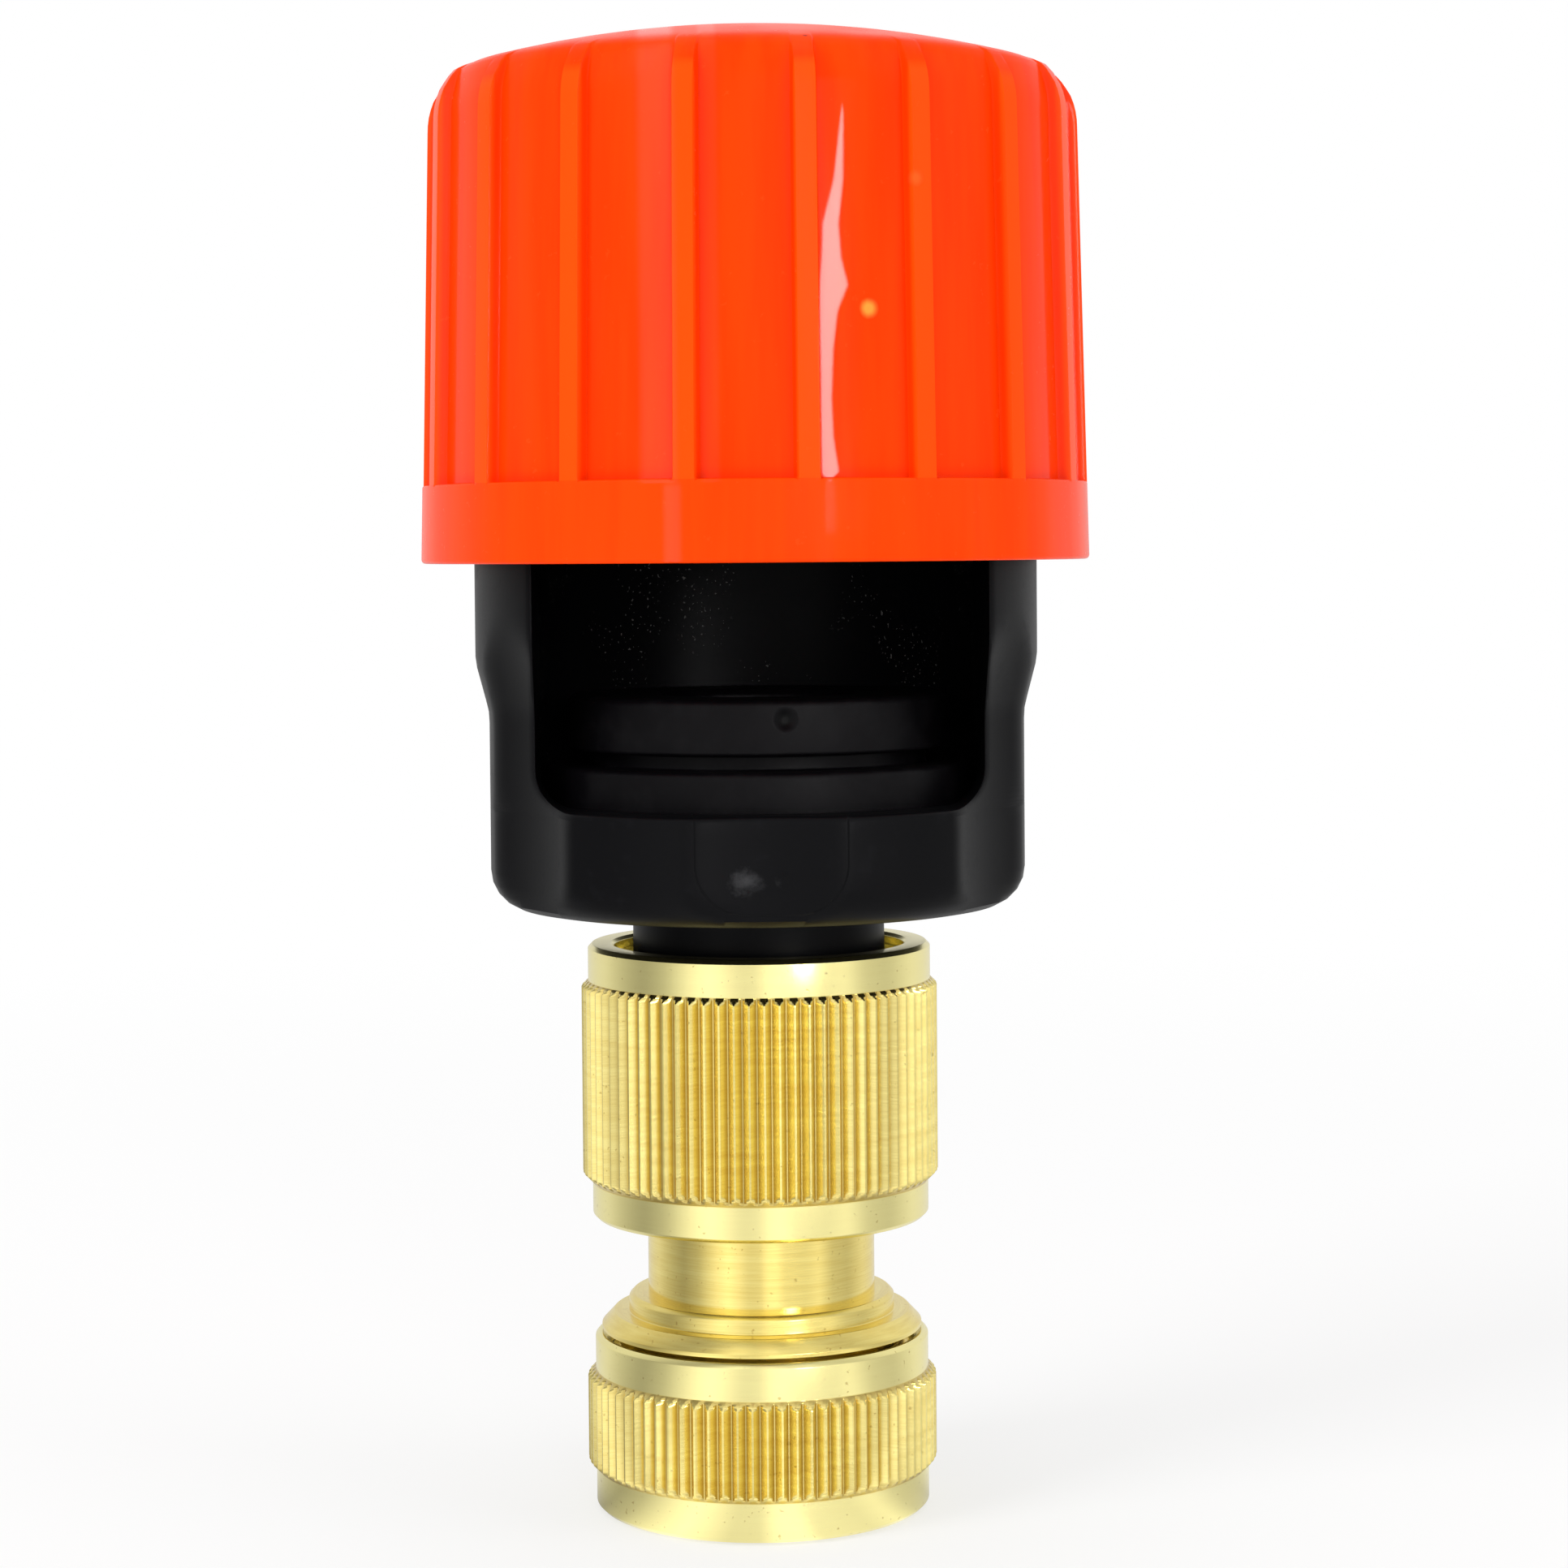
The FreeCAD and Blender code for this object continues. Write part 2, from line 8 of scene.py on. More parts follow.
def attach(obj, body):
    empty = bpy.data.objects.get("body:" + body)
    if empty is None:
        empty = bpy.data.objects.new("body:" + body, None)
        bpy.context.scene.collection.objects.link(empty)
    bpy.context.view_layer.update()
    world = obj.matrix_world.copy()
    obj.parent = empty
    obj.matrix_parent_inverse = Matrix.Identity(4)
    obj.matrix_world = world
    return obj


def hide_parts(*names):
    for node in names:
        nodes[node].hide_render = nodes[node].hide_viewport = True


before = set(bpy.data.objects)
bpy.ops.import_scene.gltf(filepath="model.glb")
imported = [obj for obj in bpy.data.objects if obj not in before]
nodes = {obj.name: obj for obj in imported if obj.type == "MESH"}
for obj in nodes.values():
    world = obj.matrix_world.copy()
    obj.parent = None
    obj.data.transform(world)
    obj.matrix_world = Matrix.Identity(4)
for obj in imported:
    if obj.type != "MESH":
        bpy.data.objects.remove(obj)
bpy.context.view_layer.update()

mm = 0.001
print("frame loaded:", len(nodes), "nodes")


# A socket that takes part in arithmetic: each sum, product or comparison adds one Math node
class Sock:
    def __init__(self, finish, socket):
        self.finish = finish
        self.socket = socket

    def math(self, operation, *values):
        return self.finish.add("ShaderNodeMath", {"operation": operation}, dict(enumerate(values)))

    def __add__(self, other):
        return self.math("ADD", self, other)

    def __radd__(self, other):
        return self.math("ADD", other, self)

    def __sub__(self, other):
        return self.math("SUBTRACT", self, other)

    def __rsub__(self, other):
        return self.math("SUBTRACT", other, self)

    def __mul__(self, other):
        return self.math("MULTIPLY", self, other)

    def __rmul__(self, other):
        return self.math("MULTIPLY", other, self)

    def __truediv__(self, other):
        return self.math("DIVIDE", self, other)

    def __rtruediv__(self, other):
        return self.math("DIVIDE", other, self)

    def __pow__(self, other):
        return self.math("POWER", self, other)

    def __gt__(self, other):
        return self.math("GREATER_THAN", self, other)

    def __lt__(self, other):
        return self.math("LESS_THAN", self, other)

    def __abs__(self):
        return self.math("ABSOLUTE", self)


# A node tree being filled in, for a material or the world
class Finish:
    def __init__(self, owner):
        owner.use_nodes = True
        self.tree = owner.node_tree
        self.tree.nodes.clear()

    def find(self, sockets, key):
        if isinstance(key, int):
            return sockets[key]
        return next(s for s in sockets if s.identifier == key or (s.name == key and s.enabled))

    def add(self, kind, settings=None, inputs=None, out=0):
        node = self.tree.nodes.new(kind)
        for name, value in (settings or {}).items():
            if name == "stops":
                self.fillRamp(node.color_ramp.elements, value)
            else:
                setattr(node, name, value)
        for key, value in (inputs or {}).items():
            socket = self.find(node.inputs, key)
            if isinstance(value, Sock):
                self.tree.links.new(value.socket, socket)
            else:
                socket.default_value = value
        return Sock(self, self.find(node.outputs, out)) if len(node.outputs) else node

    # A new ramp has two elements, which take the first two stops
    def fillRamp(self, elements, stops):
        for index, (place, colour) in enumerate(stops):
            element = elements[index] if index < 2 else elements.new(place)
            element.position = place
            element.color = colour

    def place(self):
        return self.add("ShaderNodeTexCoord", None, None, "Object")

    def rays(self, *kinds):
        return [self.add("ShaderNodeLightPath", None, None, "Is %s Ray" % kind) for kind in kinds]

    def split(self, vector):
        return [self.add("ShaderNodeSeparateXYZ", None, {"Vector": vector}, axis) for axis in "XYZ"]

    def join(self, x, y, z):
        return self.add("ShaderNodeCombineXYZ", None, {"X": x, "Y": y, "Z": z})

    def noise(self, vector, scale, detail=2.0, rough=0.5):
        return self.add("ShaderNodeTexNoise", None,
                        {"Vector": vector, "Scale": scale, "Detail": detail, "Roughness": rough})

    def blend(self, factor, first, second):
        return self.add("ShaderNodeMix", {"data_type": "RGBA"},
                        {"Factor_Float": factor, "A_Color": first, "B_Color": second}, "Result_Color")

    # 0 below low, 1 above high, smooth between
    def step(self, value, low, high):
        return self.add("ShaderNodeMapRange", {"interpolation_type": "SMOOTHSTEP"},
                        {"Value": value, "From Min": low, "From Max": high, "To Min": 0.0, "To Max": 1.0})

    def bump(self, height, strength, distance, normal=None):
        inputs = {"Height": height, "Strength": strength, "Distance": distance}
        if normal:
            inputs["Normal"] = normal
        return self.add("ShaderNodeBump", None, inputs)

    # The value where it is above nought, and nought elsewhere
    def above(self, value):
        return self.add("ShaderNodeMath", {"operation": "MAXIMUM"}, {0: value, 1: 0.0})

    # Distance from a point, in metres
    def away(self, place, point):
        return self.add("ShaderNodeVectorMath", {"operation": "DISTANCE"}, {0: place, 1: point}, "Value")

    def surface(self, inputs):
        shader = self.add("ShaderNodeBsdfPrincipled", None, inputs)
        self.add("ShaderNodeOutputMaterial", None, {"Surface": shader})


# The values of a settings dictionary, read by name
class Named:
    def __init__(self, settings):
        self.__dict__.update(settings)


# Linear colour of a screen colour written 0 to 255
def tint(red, green, blue):
    return tuple((c / 255 / 12.92) if c <= 10 else ((c / 255 + 0.055) / 1.055) ** 2.4
                 for c in (red, green, blue)) + (1.0,)


# A place on a piece, its coordinates and its distance from the common axis, in metres
def latheCoords(finish):
    place = finish.place()
    x, y, z = finish.split(place)
    return place, x, y, z, (x * x + y * y) ** 0.5


# In the look dictionaries a noise is (scale, detail, roughness), and an edge is where a mask begins and ends
brassLook = {"pale": tint(255, 237, 148), "deep": tint(238, 212, 118), "stain": tint(186, 150, 66),
             "roughSpread": 0.1, "markPitch": 0.00011, "markHeight": 0.0000035, "slant": 1.31,
             "fine": (1.0, 3.0, 0.6), "fineAround": 260, "broad": (1.0, 2.0, 0.5), "broadAround": 90,
             "broadShare": 0.12, "patches": (130.0, 3.0, 0.55), "patchEdge": (0.6, 0.8), "patchStain": 0.12,
             "pits": (2600.0, 1.0), "pitEdge": (0.7, 0.78), "pitStain": 0.5, "toneEdge": (0.3, 0.7)}
# Light bounces about between the teeth and deepens the colour, so the knurled pieces start paler
# The stain colour also paints shade into the grooves, and the band colour is a painted sheen on the plain
# bands
knurlLook = dict(brassLook, pale=tint(251, 235, 152), deep=tint(235, 211, 124), stain=tint(176, 146, 72),
                 band=tint(255, 245, 172), bandShare=0.8, bandEdge=0.0001, outside=0.0135,
                 grooveEdge=(0.00015, 0.0006), grooveStain=0.55)
# Toothed bands as (tooth tip radius, lower edge, upper edge) in metres
toothedBands = [(0.0144, 0.0032, 0.0113), (0.01465, 0.0268, 0.0434)]


# marks is how strong the turning marks are, and rings how close they lie on a flat end
def makeBrass(name, look, marks, baseRough, rings=1.0):
    s = Named(look)
    material = bpy.data.materials.new(name)
    f = Finish(material)
    place, x, y, z, radius = latheCoords(f)
    across = (radius * rings + z * s.slant) / s.markPitch
    fine = f.noise(f.join(across, x * s.fineAround, y * s.fineAround), *s.fine)
    broad = f.noise(f.join(across * s.broadShare, x * s.broadAround, y * s.broadAround), *s.broad)
    patches = f.noise(place, *s.patches)
    pits = f.step(f.noise(place, *s.pits), *s.pitEdge)
    tone = f.step(fine * 0.45 + broad * 0.35 + patches * 0.2, *s.toneEdge)
    colour = f.blend(tone, s.deep, s.pale)
    colour = f.blend(f.step(patches, *s.patchEdge) * s.patchStain, colour, s.stain)
    if "band" in look:
        # Painted shade darkens the grooves between the teeth, and a painted sheen makes the plain bands above
        # and below them brighter
        plain = 1
        for tip, low, high in toothedBands:
            toothed = (z > low) * (z < high) * (radius > s.outside)
            groove = f.step(tip - radius, *s.grooveEdge) * toothed
            colour = f.blend(groove * s.grooveStain, colour, s.stain)
            rise, fall = f.step(z, low - s.bandEdge, low), f.step(z, high, high + s.bandEdge)
            plain = plain - rise * (1 - fall)
        colour = f.blend(plain * s.bandShare, colour, s.band)
    colour = f.blend(pits * s.pitStain, colour, s.stain)
    rough = baseRough + s.roughSpread * (fine * 0.6 + patches * 0.4)
    height = (fine * 0.6 + broad * 0.6) * marks - pits * 0.6
    f.surface({"Base Color": colour, "Metallic": 1.0, "Roughness": rough,
               "Normal": f.bump(height, 1.0, s.markHeight)})
    return material


plasticLook = {"black": tint(9, 9, 11), "worn": tint(19, 19, 22), "rough": 0.3, "shine": 0.075,
               "grain": (5200.0, 2.0, 0.6), "height": 0.000004, "flow": (1.0, 2.0, 0.5), "flowAround": 90,
               "flowUp": 22, "rub": (420.0, 4.0, 0.65), "rubEdge": (0.56, 0.72), "wear": 0.35}
# Under the window: a tile with a round foot, a scuffed raised mark whose paler colour is partly a painted
# glint, and a dent beside it, in metres
bodyMarks = {"front": -0.015, "sill": 0.0583, "tileMiddle": 0.0005, "tileHalf": 0.0059, "tileFoot": 0.0506,
             "tileRound": 0.004, "tileEdge": (-0.0001, 0.0001), "tileHeight": 0.00009,
             "gate": (-0.0015, -0.02065, 0.0533), "gateEdge": (0.0002, 0.0013), "ragged": 0.0036,
             "scuff": tint(74, 74, 76), "dent": (0.00137, -0.02065, 0.0533), "dentEdge": (0.0002, 0.0007),
             "height": 0.00012}
# Dust on the wall behind the window
dustLook = {"colour": tint(120, 120, 118), "specks": (4400.0, 0.0), "speckEdge": (0.74, 0.79),
            "patches": (150.0, 1.0), "patchEdge": (0.5, 0.62), "within": 0.0181, "above": 0.06, "share": 0.8}


def makeBlack(name, gloss=0.0, marked=False):
    s, m, d = Named(plasticLook), Named(bodyMarks), Named(dustLook)
    material = bpy.data.materials.new(name)
    f = Finish(material)
    place, x, y, z, radius = latheCoords(f)
    grain = f.noise(place, *s.grain)
    flow = f.noise(f.join(x * s.flowAround, y * s.flowAround, z * s.flowUp), *s.flow)
    rub = f.noise(place, *s.rub)
    wear = f.step(rub, *s.rubEdge) * s.wear
    colour = f.blend(wear, s.black, s.worn)
    rough = s.rough - gloss + flow * 0.1 + grain * 0.08 + wear * 0.15
    normal = f.bump(grain * 0.5 + flow * 6.0, 1.0, s.height)
    if marked:
        across = f.above(abs(x - m.tileMiddle) - (m.tileHalf - m.tileRound))
        below = f.above(m.tileFoot + m.tileRound - z)
        edge = (across * across + below * below) ** 0.5 - m.tileRound
        tile = (1 - f.step(edge, *m.tileEdge)) * ((y < m.front) * (z < m.sill))
        normal = f.bump(tile, 1.0, m.tileHeight, normal)
        gate = 1 - f.step(f.away(place, m.gate) + (rub - 0.5) * m.ragged, *m.gateEdge)
        dent = 1 - f.step(f.away(place, m.dent), *m.dentEdge)
        normal = f.bump(gate - dent, 1.0, m.height, normal)
        # The mark's paler colour is partly scuffing and partly a painted glint
        colour = f.blend(gate * rub, colour, m.scuff)
        specks = f.step(f.noise(place, *d.specks), *d.speckEdge)
        region = f.step(f.noise(place, *d.patches), *d.patchEdge)
        dust = specks * region * ((radius < d.within) * (z > d.above))
        colour = f.blend(dust * d.share, colour, d.colour)
        rough = rough + gate * 0.2 + dust * 0.4
    f.surface({"Base Color": colour, "Roughness": rough, "Normal": normal,
               "Specular IOR Level": s.shine})
    return material


# The rib colour paints a highlight on the rib tops and band, and the crease colour paints shade in the
# creases
capLook = {"orange": tint(255, 63, 3), "shade": tint(250, 56, 1), "rib": tint(255, 80, 9),
           "crease": tint(200, 34, 0), "pale": tint(255, 108, 44), "rough": 0.2, "shine": 0.04,
           "wave": (1.0, 1.0, 0.4), "waveAround": 70, "waveUp": 16, "waveHeight": 0.00012,
           "grain": (4800.0, 2.0, 0.6), "grainHeight": 0.000003, "streaks": (1.0, 3.0, 0.6),
           "streakAround": 420, "streakUp": 30, "streakEdge": (0.35, 0.7), "scuff": (900.0, 3.0, 0.7),
           "scuffEdge": (0.66, 0.74), "scuffShare": 0.12, "foot": 0.0777, "footRadius": 0.02735,
           "lean": 0.0227, "ribEdge": (-0.0006, -0.0002), "bandTop": 0.084, "bandShare": 0.25,
           "ribShare": 0.5, "creaseReach": 0.0011, "creaseShare": 0.85, "markHeight": 0.00025}
# Marks of the moulding, at places in metres; the pip's pale colour is partly a painted glint
capMarks = {"glintingPip": {"place": (0.00799, -0.02453, 0.09673), "edge": (0.0003, 0.0009), "ragged": 0.0005,
                    "colour": tint(255, 176, 70), "share": 0.7, "rise": 1.0},
            "bump": {"place": (0.01165, -0.02391, 0.10651), "edge": (0.0002, 0.0008), "ragged": 0.0,
                     "colour": tint(255, 108, 44), "share": 0.45, "rise": 0.5},
            "fleck": {"place": (0.0034, -0.02426, 0.11706), "edge": (0.0001, 0.0003), "ragged": 0.0004,
                      "colour": tint(120, 26, 8), "share": 0.8, "rise": 0.0}}
# Where the moulding is glossier; a stripe is (middle, half width, soft edge, strength)
capGloss = {"patches": (1.0, 2.0, 0.5), "patchAround": 120, "patchUp": 14, "patchEdge": (0.5, 0.68),
            "patchShare": 0.12, "panelFoot": 0.0837, "bandEdge": (0.0832, 0.084),
            "panelStripes": [(-0.0079, 0.0017, 0.0008, 0.4), (-0.004, 0.0009, 0.0005, 0.2)],
            "bandStripes": [(-0.0069, 0.0009, 0.0006, 0.5), (0.0046, 0.001, 0.0006, 0.05)],
            "sideEdge": (0.0195, 0.0235), "sideShare": 0.18, "coatRough": 0.08}
# The glossy flow mark beside the front as (height, middle, half width) in metres, and the ramp that holds it
flowMark = [(0.0835, 0.0049, 0), (0.0845, 0.0049, 0.0007), (0.087, 0.0047, 0.00055),
            (0.09, 0.00465, 0.0005), (0.0937, 0.00468, 0.0006), (0.0965, 0.0049, 0.0007),
            (0.0985, 0.00535, 0.00098), (0.1005, 0.0052, 0.0007), (0.103, 0.00515, 0.0006),
            (0.1064, 0.00578, 0.0004), (0.1113, 0.0061, 0.0002), (0.1125, 0.0061, 0)]
flowRamp = {"foot": 0.082, "height": 0.032, "left": 0.004, "width": 0.003, "half": 0.0015, "swell": 0.0019,
            "soft": 0.00034}


# How open a surface is to its surroundings, 0 in a deep groove and 1 on a free face
def openness(finish, distance):
    return finish.add("ShaderNodeAmbientOcclusion", {"samples": 6}, {"Distance": distance}, "AO")


def makeOrange():
    s, g, r = Named(capLook), Named(capGloss), Named(flowRamp)
    material = bpy.data.materials.new("orange_moulding")
    f = Finish(material)
    place, x, y, z, radius = latheCoords(f)

    def upright(around, up, noise):
        return f.noise(f.join(x * around, y * around, z * up), *noise)

    def stripes(rows):
        return sum(f.step(half - abs(x - at), 0, soft) * strength for at, half, soft, strength in rows)

    wave = upright(s.waveAround, s.waveUp, s.wave)
    grain = f.noise(place, *s.grain)
    streaks = upright(s.streakAround, s.streakUp, s.streaks)
    scuff = f.step(f.noise(place, *s.scuff), *s.scuffEdge)
    colour = f.blend(f.step(streaks, *s.streakEdge), s.orange, s.shade)
    colour = f.blend(scuff * s.scuffShare, colour, s.pale)
    # Painted highlight: rib tops and the band are a little lighter than the sunk panels
    line = s.footRadius - (z - s.foot) * s.lean
    share = s.bandShare + s.ribShare * (z > s.bandTop)
    colour = f.blend(f.step(radius - line, *s.ribEdge) * share, colour, s.rib)
    # Painted shade: the colour darkens where the surface is closed in, in the creases beside the ribs
    creaseShade = (1 - openness(f, s.creaseReach)) * s.creaseShare
    colour = f.blend(creaseShade, colour, s.crease)
    raised = 0
    for mark in capMarks.values():
        apart = f.away(place, mark["place"]) + (streaks - 0.5) * mark["ragged"]
        spot = 1 - f.step(apart, *mark["edge"])
        # For the pip this colour is partly a painted glint
        colour = f.blend(spot * mark["share"], colour, mark["colour"])
        raised = raised + spot * mark["rise"]
    rough = s.rough + grain * 0.05 + streaks * 0.06 + scuff * 0.1
    normal = f.bump(wave, 0.35, s.waveHeight)
    normal = f.bump(grain, 0.5, s.grainHeight, normal)
    normal = f.bump(raised, 1.0, s.markHeight, normal)
    # Gloss lies in upright patches and stripes, most of all in the flow mark
    patch = f.step(upright(g.patchAround, g.patchUp, g.patches), *g.patchEdge) * g.patchShare
    stops = [((height - r.foot) / r.height, ((middle - r.left) / r.width, half / r.half, 0, 1))
             for height, middle, half in flowMark]
    ramp = f.add("ShaderNodeValToRGB", {"stops": stops}, {0: (z - r.foot) / r.height})
    middle, half = f.split(ramp)[:2]
    flow = f.step(half * r.swell - abs(x - r.left - middle * r.width), 0, r.soft)
    onPanel = (stripes(g.panelStripes) + flow * (0.55 + 0.45 * streaks)) * (z > g.panelFoot)
    onBand = (1 - f.step(z, *g.bandEdge)) * stripes(g.bandStripes)
    sides = f.step(abs(x), *g.sideEdge) * g.sideShare
    gloss = patch + (onPanel + onBand) * (y < 0) + sides
    f.surface({"Base Color": colour, "Roughness": rough, "Normal": normal, "Specular IOR Level": s.shine,
               "Coat Weight": gloss, "Coat Roughness": g.coatRough})
    return material


# The pit colour is painted shade in the middle of the dimple
rubberLook = {"black": tint(5, 4, 6), "bloom": tint(12, 11, 13), "pit": tint(1, 1, 1), "rough": 0.38,
              "shine": 0.12, "grain": (3800.0, 3.0, 0.6), "grainHeight": 0.000006,
              "clouds": (300.0, 3.0, 0.6), "cloudEdge": (0.4, 0.75), "dimple": (0.00183, -0.01539, 0.06537),
              "dimpleEdge": (0.0002, 0.0011), "dimpleDepth": 0.0004, "pitEdge": (0.0003, 0.0007)}


def makeRubber():
    s = Named(rubberLook)
    material = bpy.data.materials.new("seal_rubber_black")
    f = Finish(material)
    place = f.place()
    grain = f.noise(place, *s.grain)
    clouds = f.noise(place, *s.clouds)
    colour = f.blend(f.step(clouds, *s.cloudEdge), s.black, s.bloom)
    apart = f.away(place, s.dimple)
    # Painted shade: the colour is darker in the middle of the dimple
    colour = f.blend(1 - f.step(apart, *s.pitEdge), colour, s.pit)
    normal = f.bump(grain, 0.6, s.grainHeight)
    normal = f.bump(f.step(apart, *s.dimpleEdge), 1.0, s.dimpleDepth, normal)
    f.surface({"Base Color": colour, "Roughness": s.rough + grain * 0.12 + clouds * 0.08,
               "Normal": normal, "Specular IOR Level": s.shine})
    return material


nylonLook = {"pale": tint(226, 226, 220), "deep": tint(206, 206, 198), "rough": 0.36,
             "clouds": (260.0, 3.0, 0.5), "cloudEdge": (0.3, 0.7), "grain": (4200.0, 2.0, 0.5),
             "grainHeight": 0.000004}


def makeNylon():
    s = Named(nylonLook)
    material = bpy.data.materials.new("grip_nylon")
    f = Finish(material)
    place = f.place()
    grain = f.noise(place, *s.grain)
    colour = f.blend(f.step(f.noise(place, *s.clouds), *s.cloudEdge), s.pale, s.deep)
    f.surface({"Base Color": colour, "Roughness": s.rough + grain * 0.12,
               "Normal": f.bump(grain, 0.5, s.grainHeight)})
    return material


steelLook = {"grey": 190, "darkening": 60, "filmDepth": 35, "rough": 0.2, "drawn": (1.0, 3.0, 0.6),
             "drawnAround": 900, "drawnUp": 4000, "drawnHeight": 0.000003, "film": (500.0, 3.0, 0.6),
             "filmEdge": (0.35, 0.75)}


def makeSteel(name, dark=0.0):
    s = Named(steelLook)
    material = bpy.data.materials.new(name)
    f = Finish(material)
    place = f.place()
    x, y, z = f.split(place)
    around, up = s.drawnAround, s.drawnUp
    drawn = f.noise(f.join(x * around, y * around, z * up), *s.drawn)
    film = f.noise(place, *s.film)
    grey = s.grey - s.darkening * dark
    dull = grey - s.filmDepth
    colour = f.blend(f.step(film, *s.filmEdge), tint(grey, grey, grey + 4), tint(dull, dull - 1, dull - 1))
    f.surface({"Base Color": colour, "Metallic": 1.0, "Roughness": s.rough + drawn * 0.16,
               "Normal": f.bump(drawn, 0.5, s.drawnHeight)})
    return material


brass = makeBrass("turned_brass", brassLook, 0.8, 0.17)
knurledBrass = makeBrass("knurled_brass", knurlLook, 0.3, 0.16, 0.1)
smoothBrass = makeBrass("smooth_brass", brassLook, 0.5, 0.11)
blackMoulding = makeBlack("black_moulding", 0.0, True)
blackDisc = makeBlack("black_disc", 0.04)
orangeMoulding = makeOrange()
rubber = makeRubber()
nylon = makeNylon()
springSteel = makeSteel("spring_wire", 0.3)
screwSteel = makeSteel("screw_zinc", 0.1)
ballSteel = makeSteel("ball_bright", 0.0)
print("finishes made:", len(bpy.data.materials))


def dressNode(name, material):
    node = nodes[name]
    node.data.materials.clear()
    node.data.materials.append(material)


# Points along a path in mm. A corner is (radius, height), (radius, height, rounding) or
# (radius, height, rounding, longest step of the run that follows it)
def roundedPath(corners, closed=True, longest=3.0, share=0.48):
    points = []
    count = len(corners)
    for index, corner in enumerate(corners):
        here = np.array(corner[:2], float)
        run = corner[3] if len(corner) > 3 else longest
        if len(corner) < 3 or corner[2] == 0 or (not closed and index in (0, count - 1)):
            points.append((here, run))
            continue
        before = np.array(corners[index - 1][:2], float) - here
        after = np.array(corners[(index + 1) % count][:2], float) - here
        room = share * min(np.linalg.norm(before), np.linalg.norm(after))
        before /= np.linalg.norm(before)
        after /= np.linalg.norm(after)
        half = math.acos(max(-1.0, min(1.0, float(before @ after)))) / 2
        reach = min(corner[2] / math.tan(half), room)
        rounding = reach * math.tan(half)
        centre = here + (before + after) / np.linalg.norm(before + after) * rounding / math.sin(half)
        first, last = here + before * reach - centre, here + after * reach - centre
        start = math.atan2(first[1], first[0])
        sweep = (math.atan2(last[1], last[0]) - start + math.pi) % (2 * math.pi) - math.pi
        steps = max(2, math.ceil(abs(sweep) / math.radians(18)))
        for step in range(steps + 1):
            angle = start + sweep * step / steps
            points.append((centre + rounding * np.array([math.cos(angle), math.sin(angle)]), run))
    dense = []
    for index, (point, run) in enumerate(points):
        dense.append(point)
        if index == len(points) - 1 and not closed:
            break
        following = points[(index + 1) % len(points)][0]
        parts = math.ceil(np.linalg.norm(following - point) / run)
        dense += [point + (following - point) * part / parts for part in range(1, parts)]
    return np.array(dense)


# Faces between the rows of a grid of points, rows by columns
def gridFaces(rows, columns, rowsClosed, columnsClosed):
    faces = []
    for row in range(rows if rowsClosed else rows - 1):
        here, above = row * columns, (row + 1) % rows * columns
        for column in range(columns if columnsClosed else columns - 1):
            beside = (column + 1) % columns
            faces.append((here + column, here + beside, above + beside, above + column))
    return faces


# A path turned about the axis; shape takes the radius, height and angle of every point and returns a new
# radius and height
def turned(path, angles, shape=None, closed=True):
    radius = np.repeat(path[:, :1], len(angles), 1)
    height = np.repeat(path[:, 1:], len(angles), 1)
    angle = np.repeat(np.asarray(angles)[None, :], len(path), 0)
    if shape:
        radius, height = shape(radius, height, angle)
    points = np.stack([radius * np.cos(angle), radius * np.sin(angle), height], -1).reshape(-1, 3)
    return points, gridFaces(len(path), len(angles), closed, True)


def evenAngles(count):
    return np.arange(count) * 2 * math.pi / count


sharpAngle = 38    # edges that turn by more than this many degrees stay sharp


# Joins parts given as (points in mm, faces) into one object in metres with clean normals
def makePiece(name, parts, material, body, replaced):
    points, faces = [], []
    for partPoints, partFaces in parts:
        offset = sum(len(p) for p in points)
        points.append(partPoints)
        faces += [tuple(index + offset for index in face) for face in partFaces]
    mesh = bpy.data.meshes.new(name)
    mesh.from_pydata((np.concatenate(points) * mm).tolist(), [], faces)
    work = bmesh.new()
    work.from_mesh(mesh)
    bmesh.ops.remove_doubles(work, verts=work.verts, dist=0.000002)
    bmesh.ops.dissolve_degenerate(work, edges=work.edges, dist=0.000001)
    bmesh.ops.recalc_face_normals(work, faces=work.faces)
    work.to_mesh(mesh)
    work.free()
    mesh.shade_smooth()
    mesh.set_sharp_from_angle(angle=math.radians(sharpAngle))
    mesh.materials.append(material)
    piece = bpy.data.objects.new(name, mesh)
    bpy.context.scene.collection.objects.link(piece)
    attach(piece, body)
    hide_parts(*replaced)
    return piece


# A tooth's shares of half a pitch, and the columns that draw it: flat tip, flank, and a flat root in between
toothTip, toothFlank = 0.13, 0.78
toothColumns = [-0.065, 0.065, 0.28, 0.455, 0.545, 0.72]


# V teeth cut into a blank; low and high bound the toothed band
def knurl(low, high, tip, depth, teeth):
    def shape(radius, height, angle):
        phase = np.abs((angle * teeth / (2 * math.pi) + 0.5) % 1.0 - 0.5) * 2
        tooth = tip - depth * np.clip((phase - toothTip) / toothFlank, 0, 1)
        banded = (height > low) & (height < high)
        return np.where(banded, np.minimum(radius, tooth), radius), height
    return shape


def knurlAngles(teeth):
    return (np.arange(teeth)[:, None] + np.array(toothColumns)[None, :]).ravel() * 2 * math.pi / teeth


threadFlank = 0.09    # width of a thread's flank, as a share of its pitch


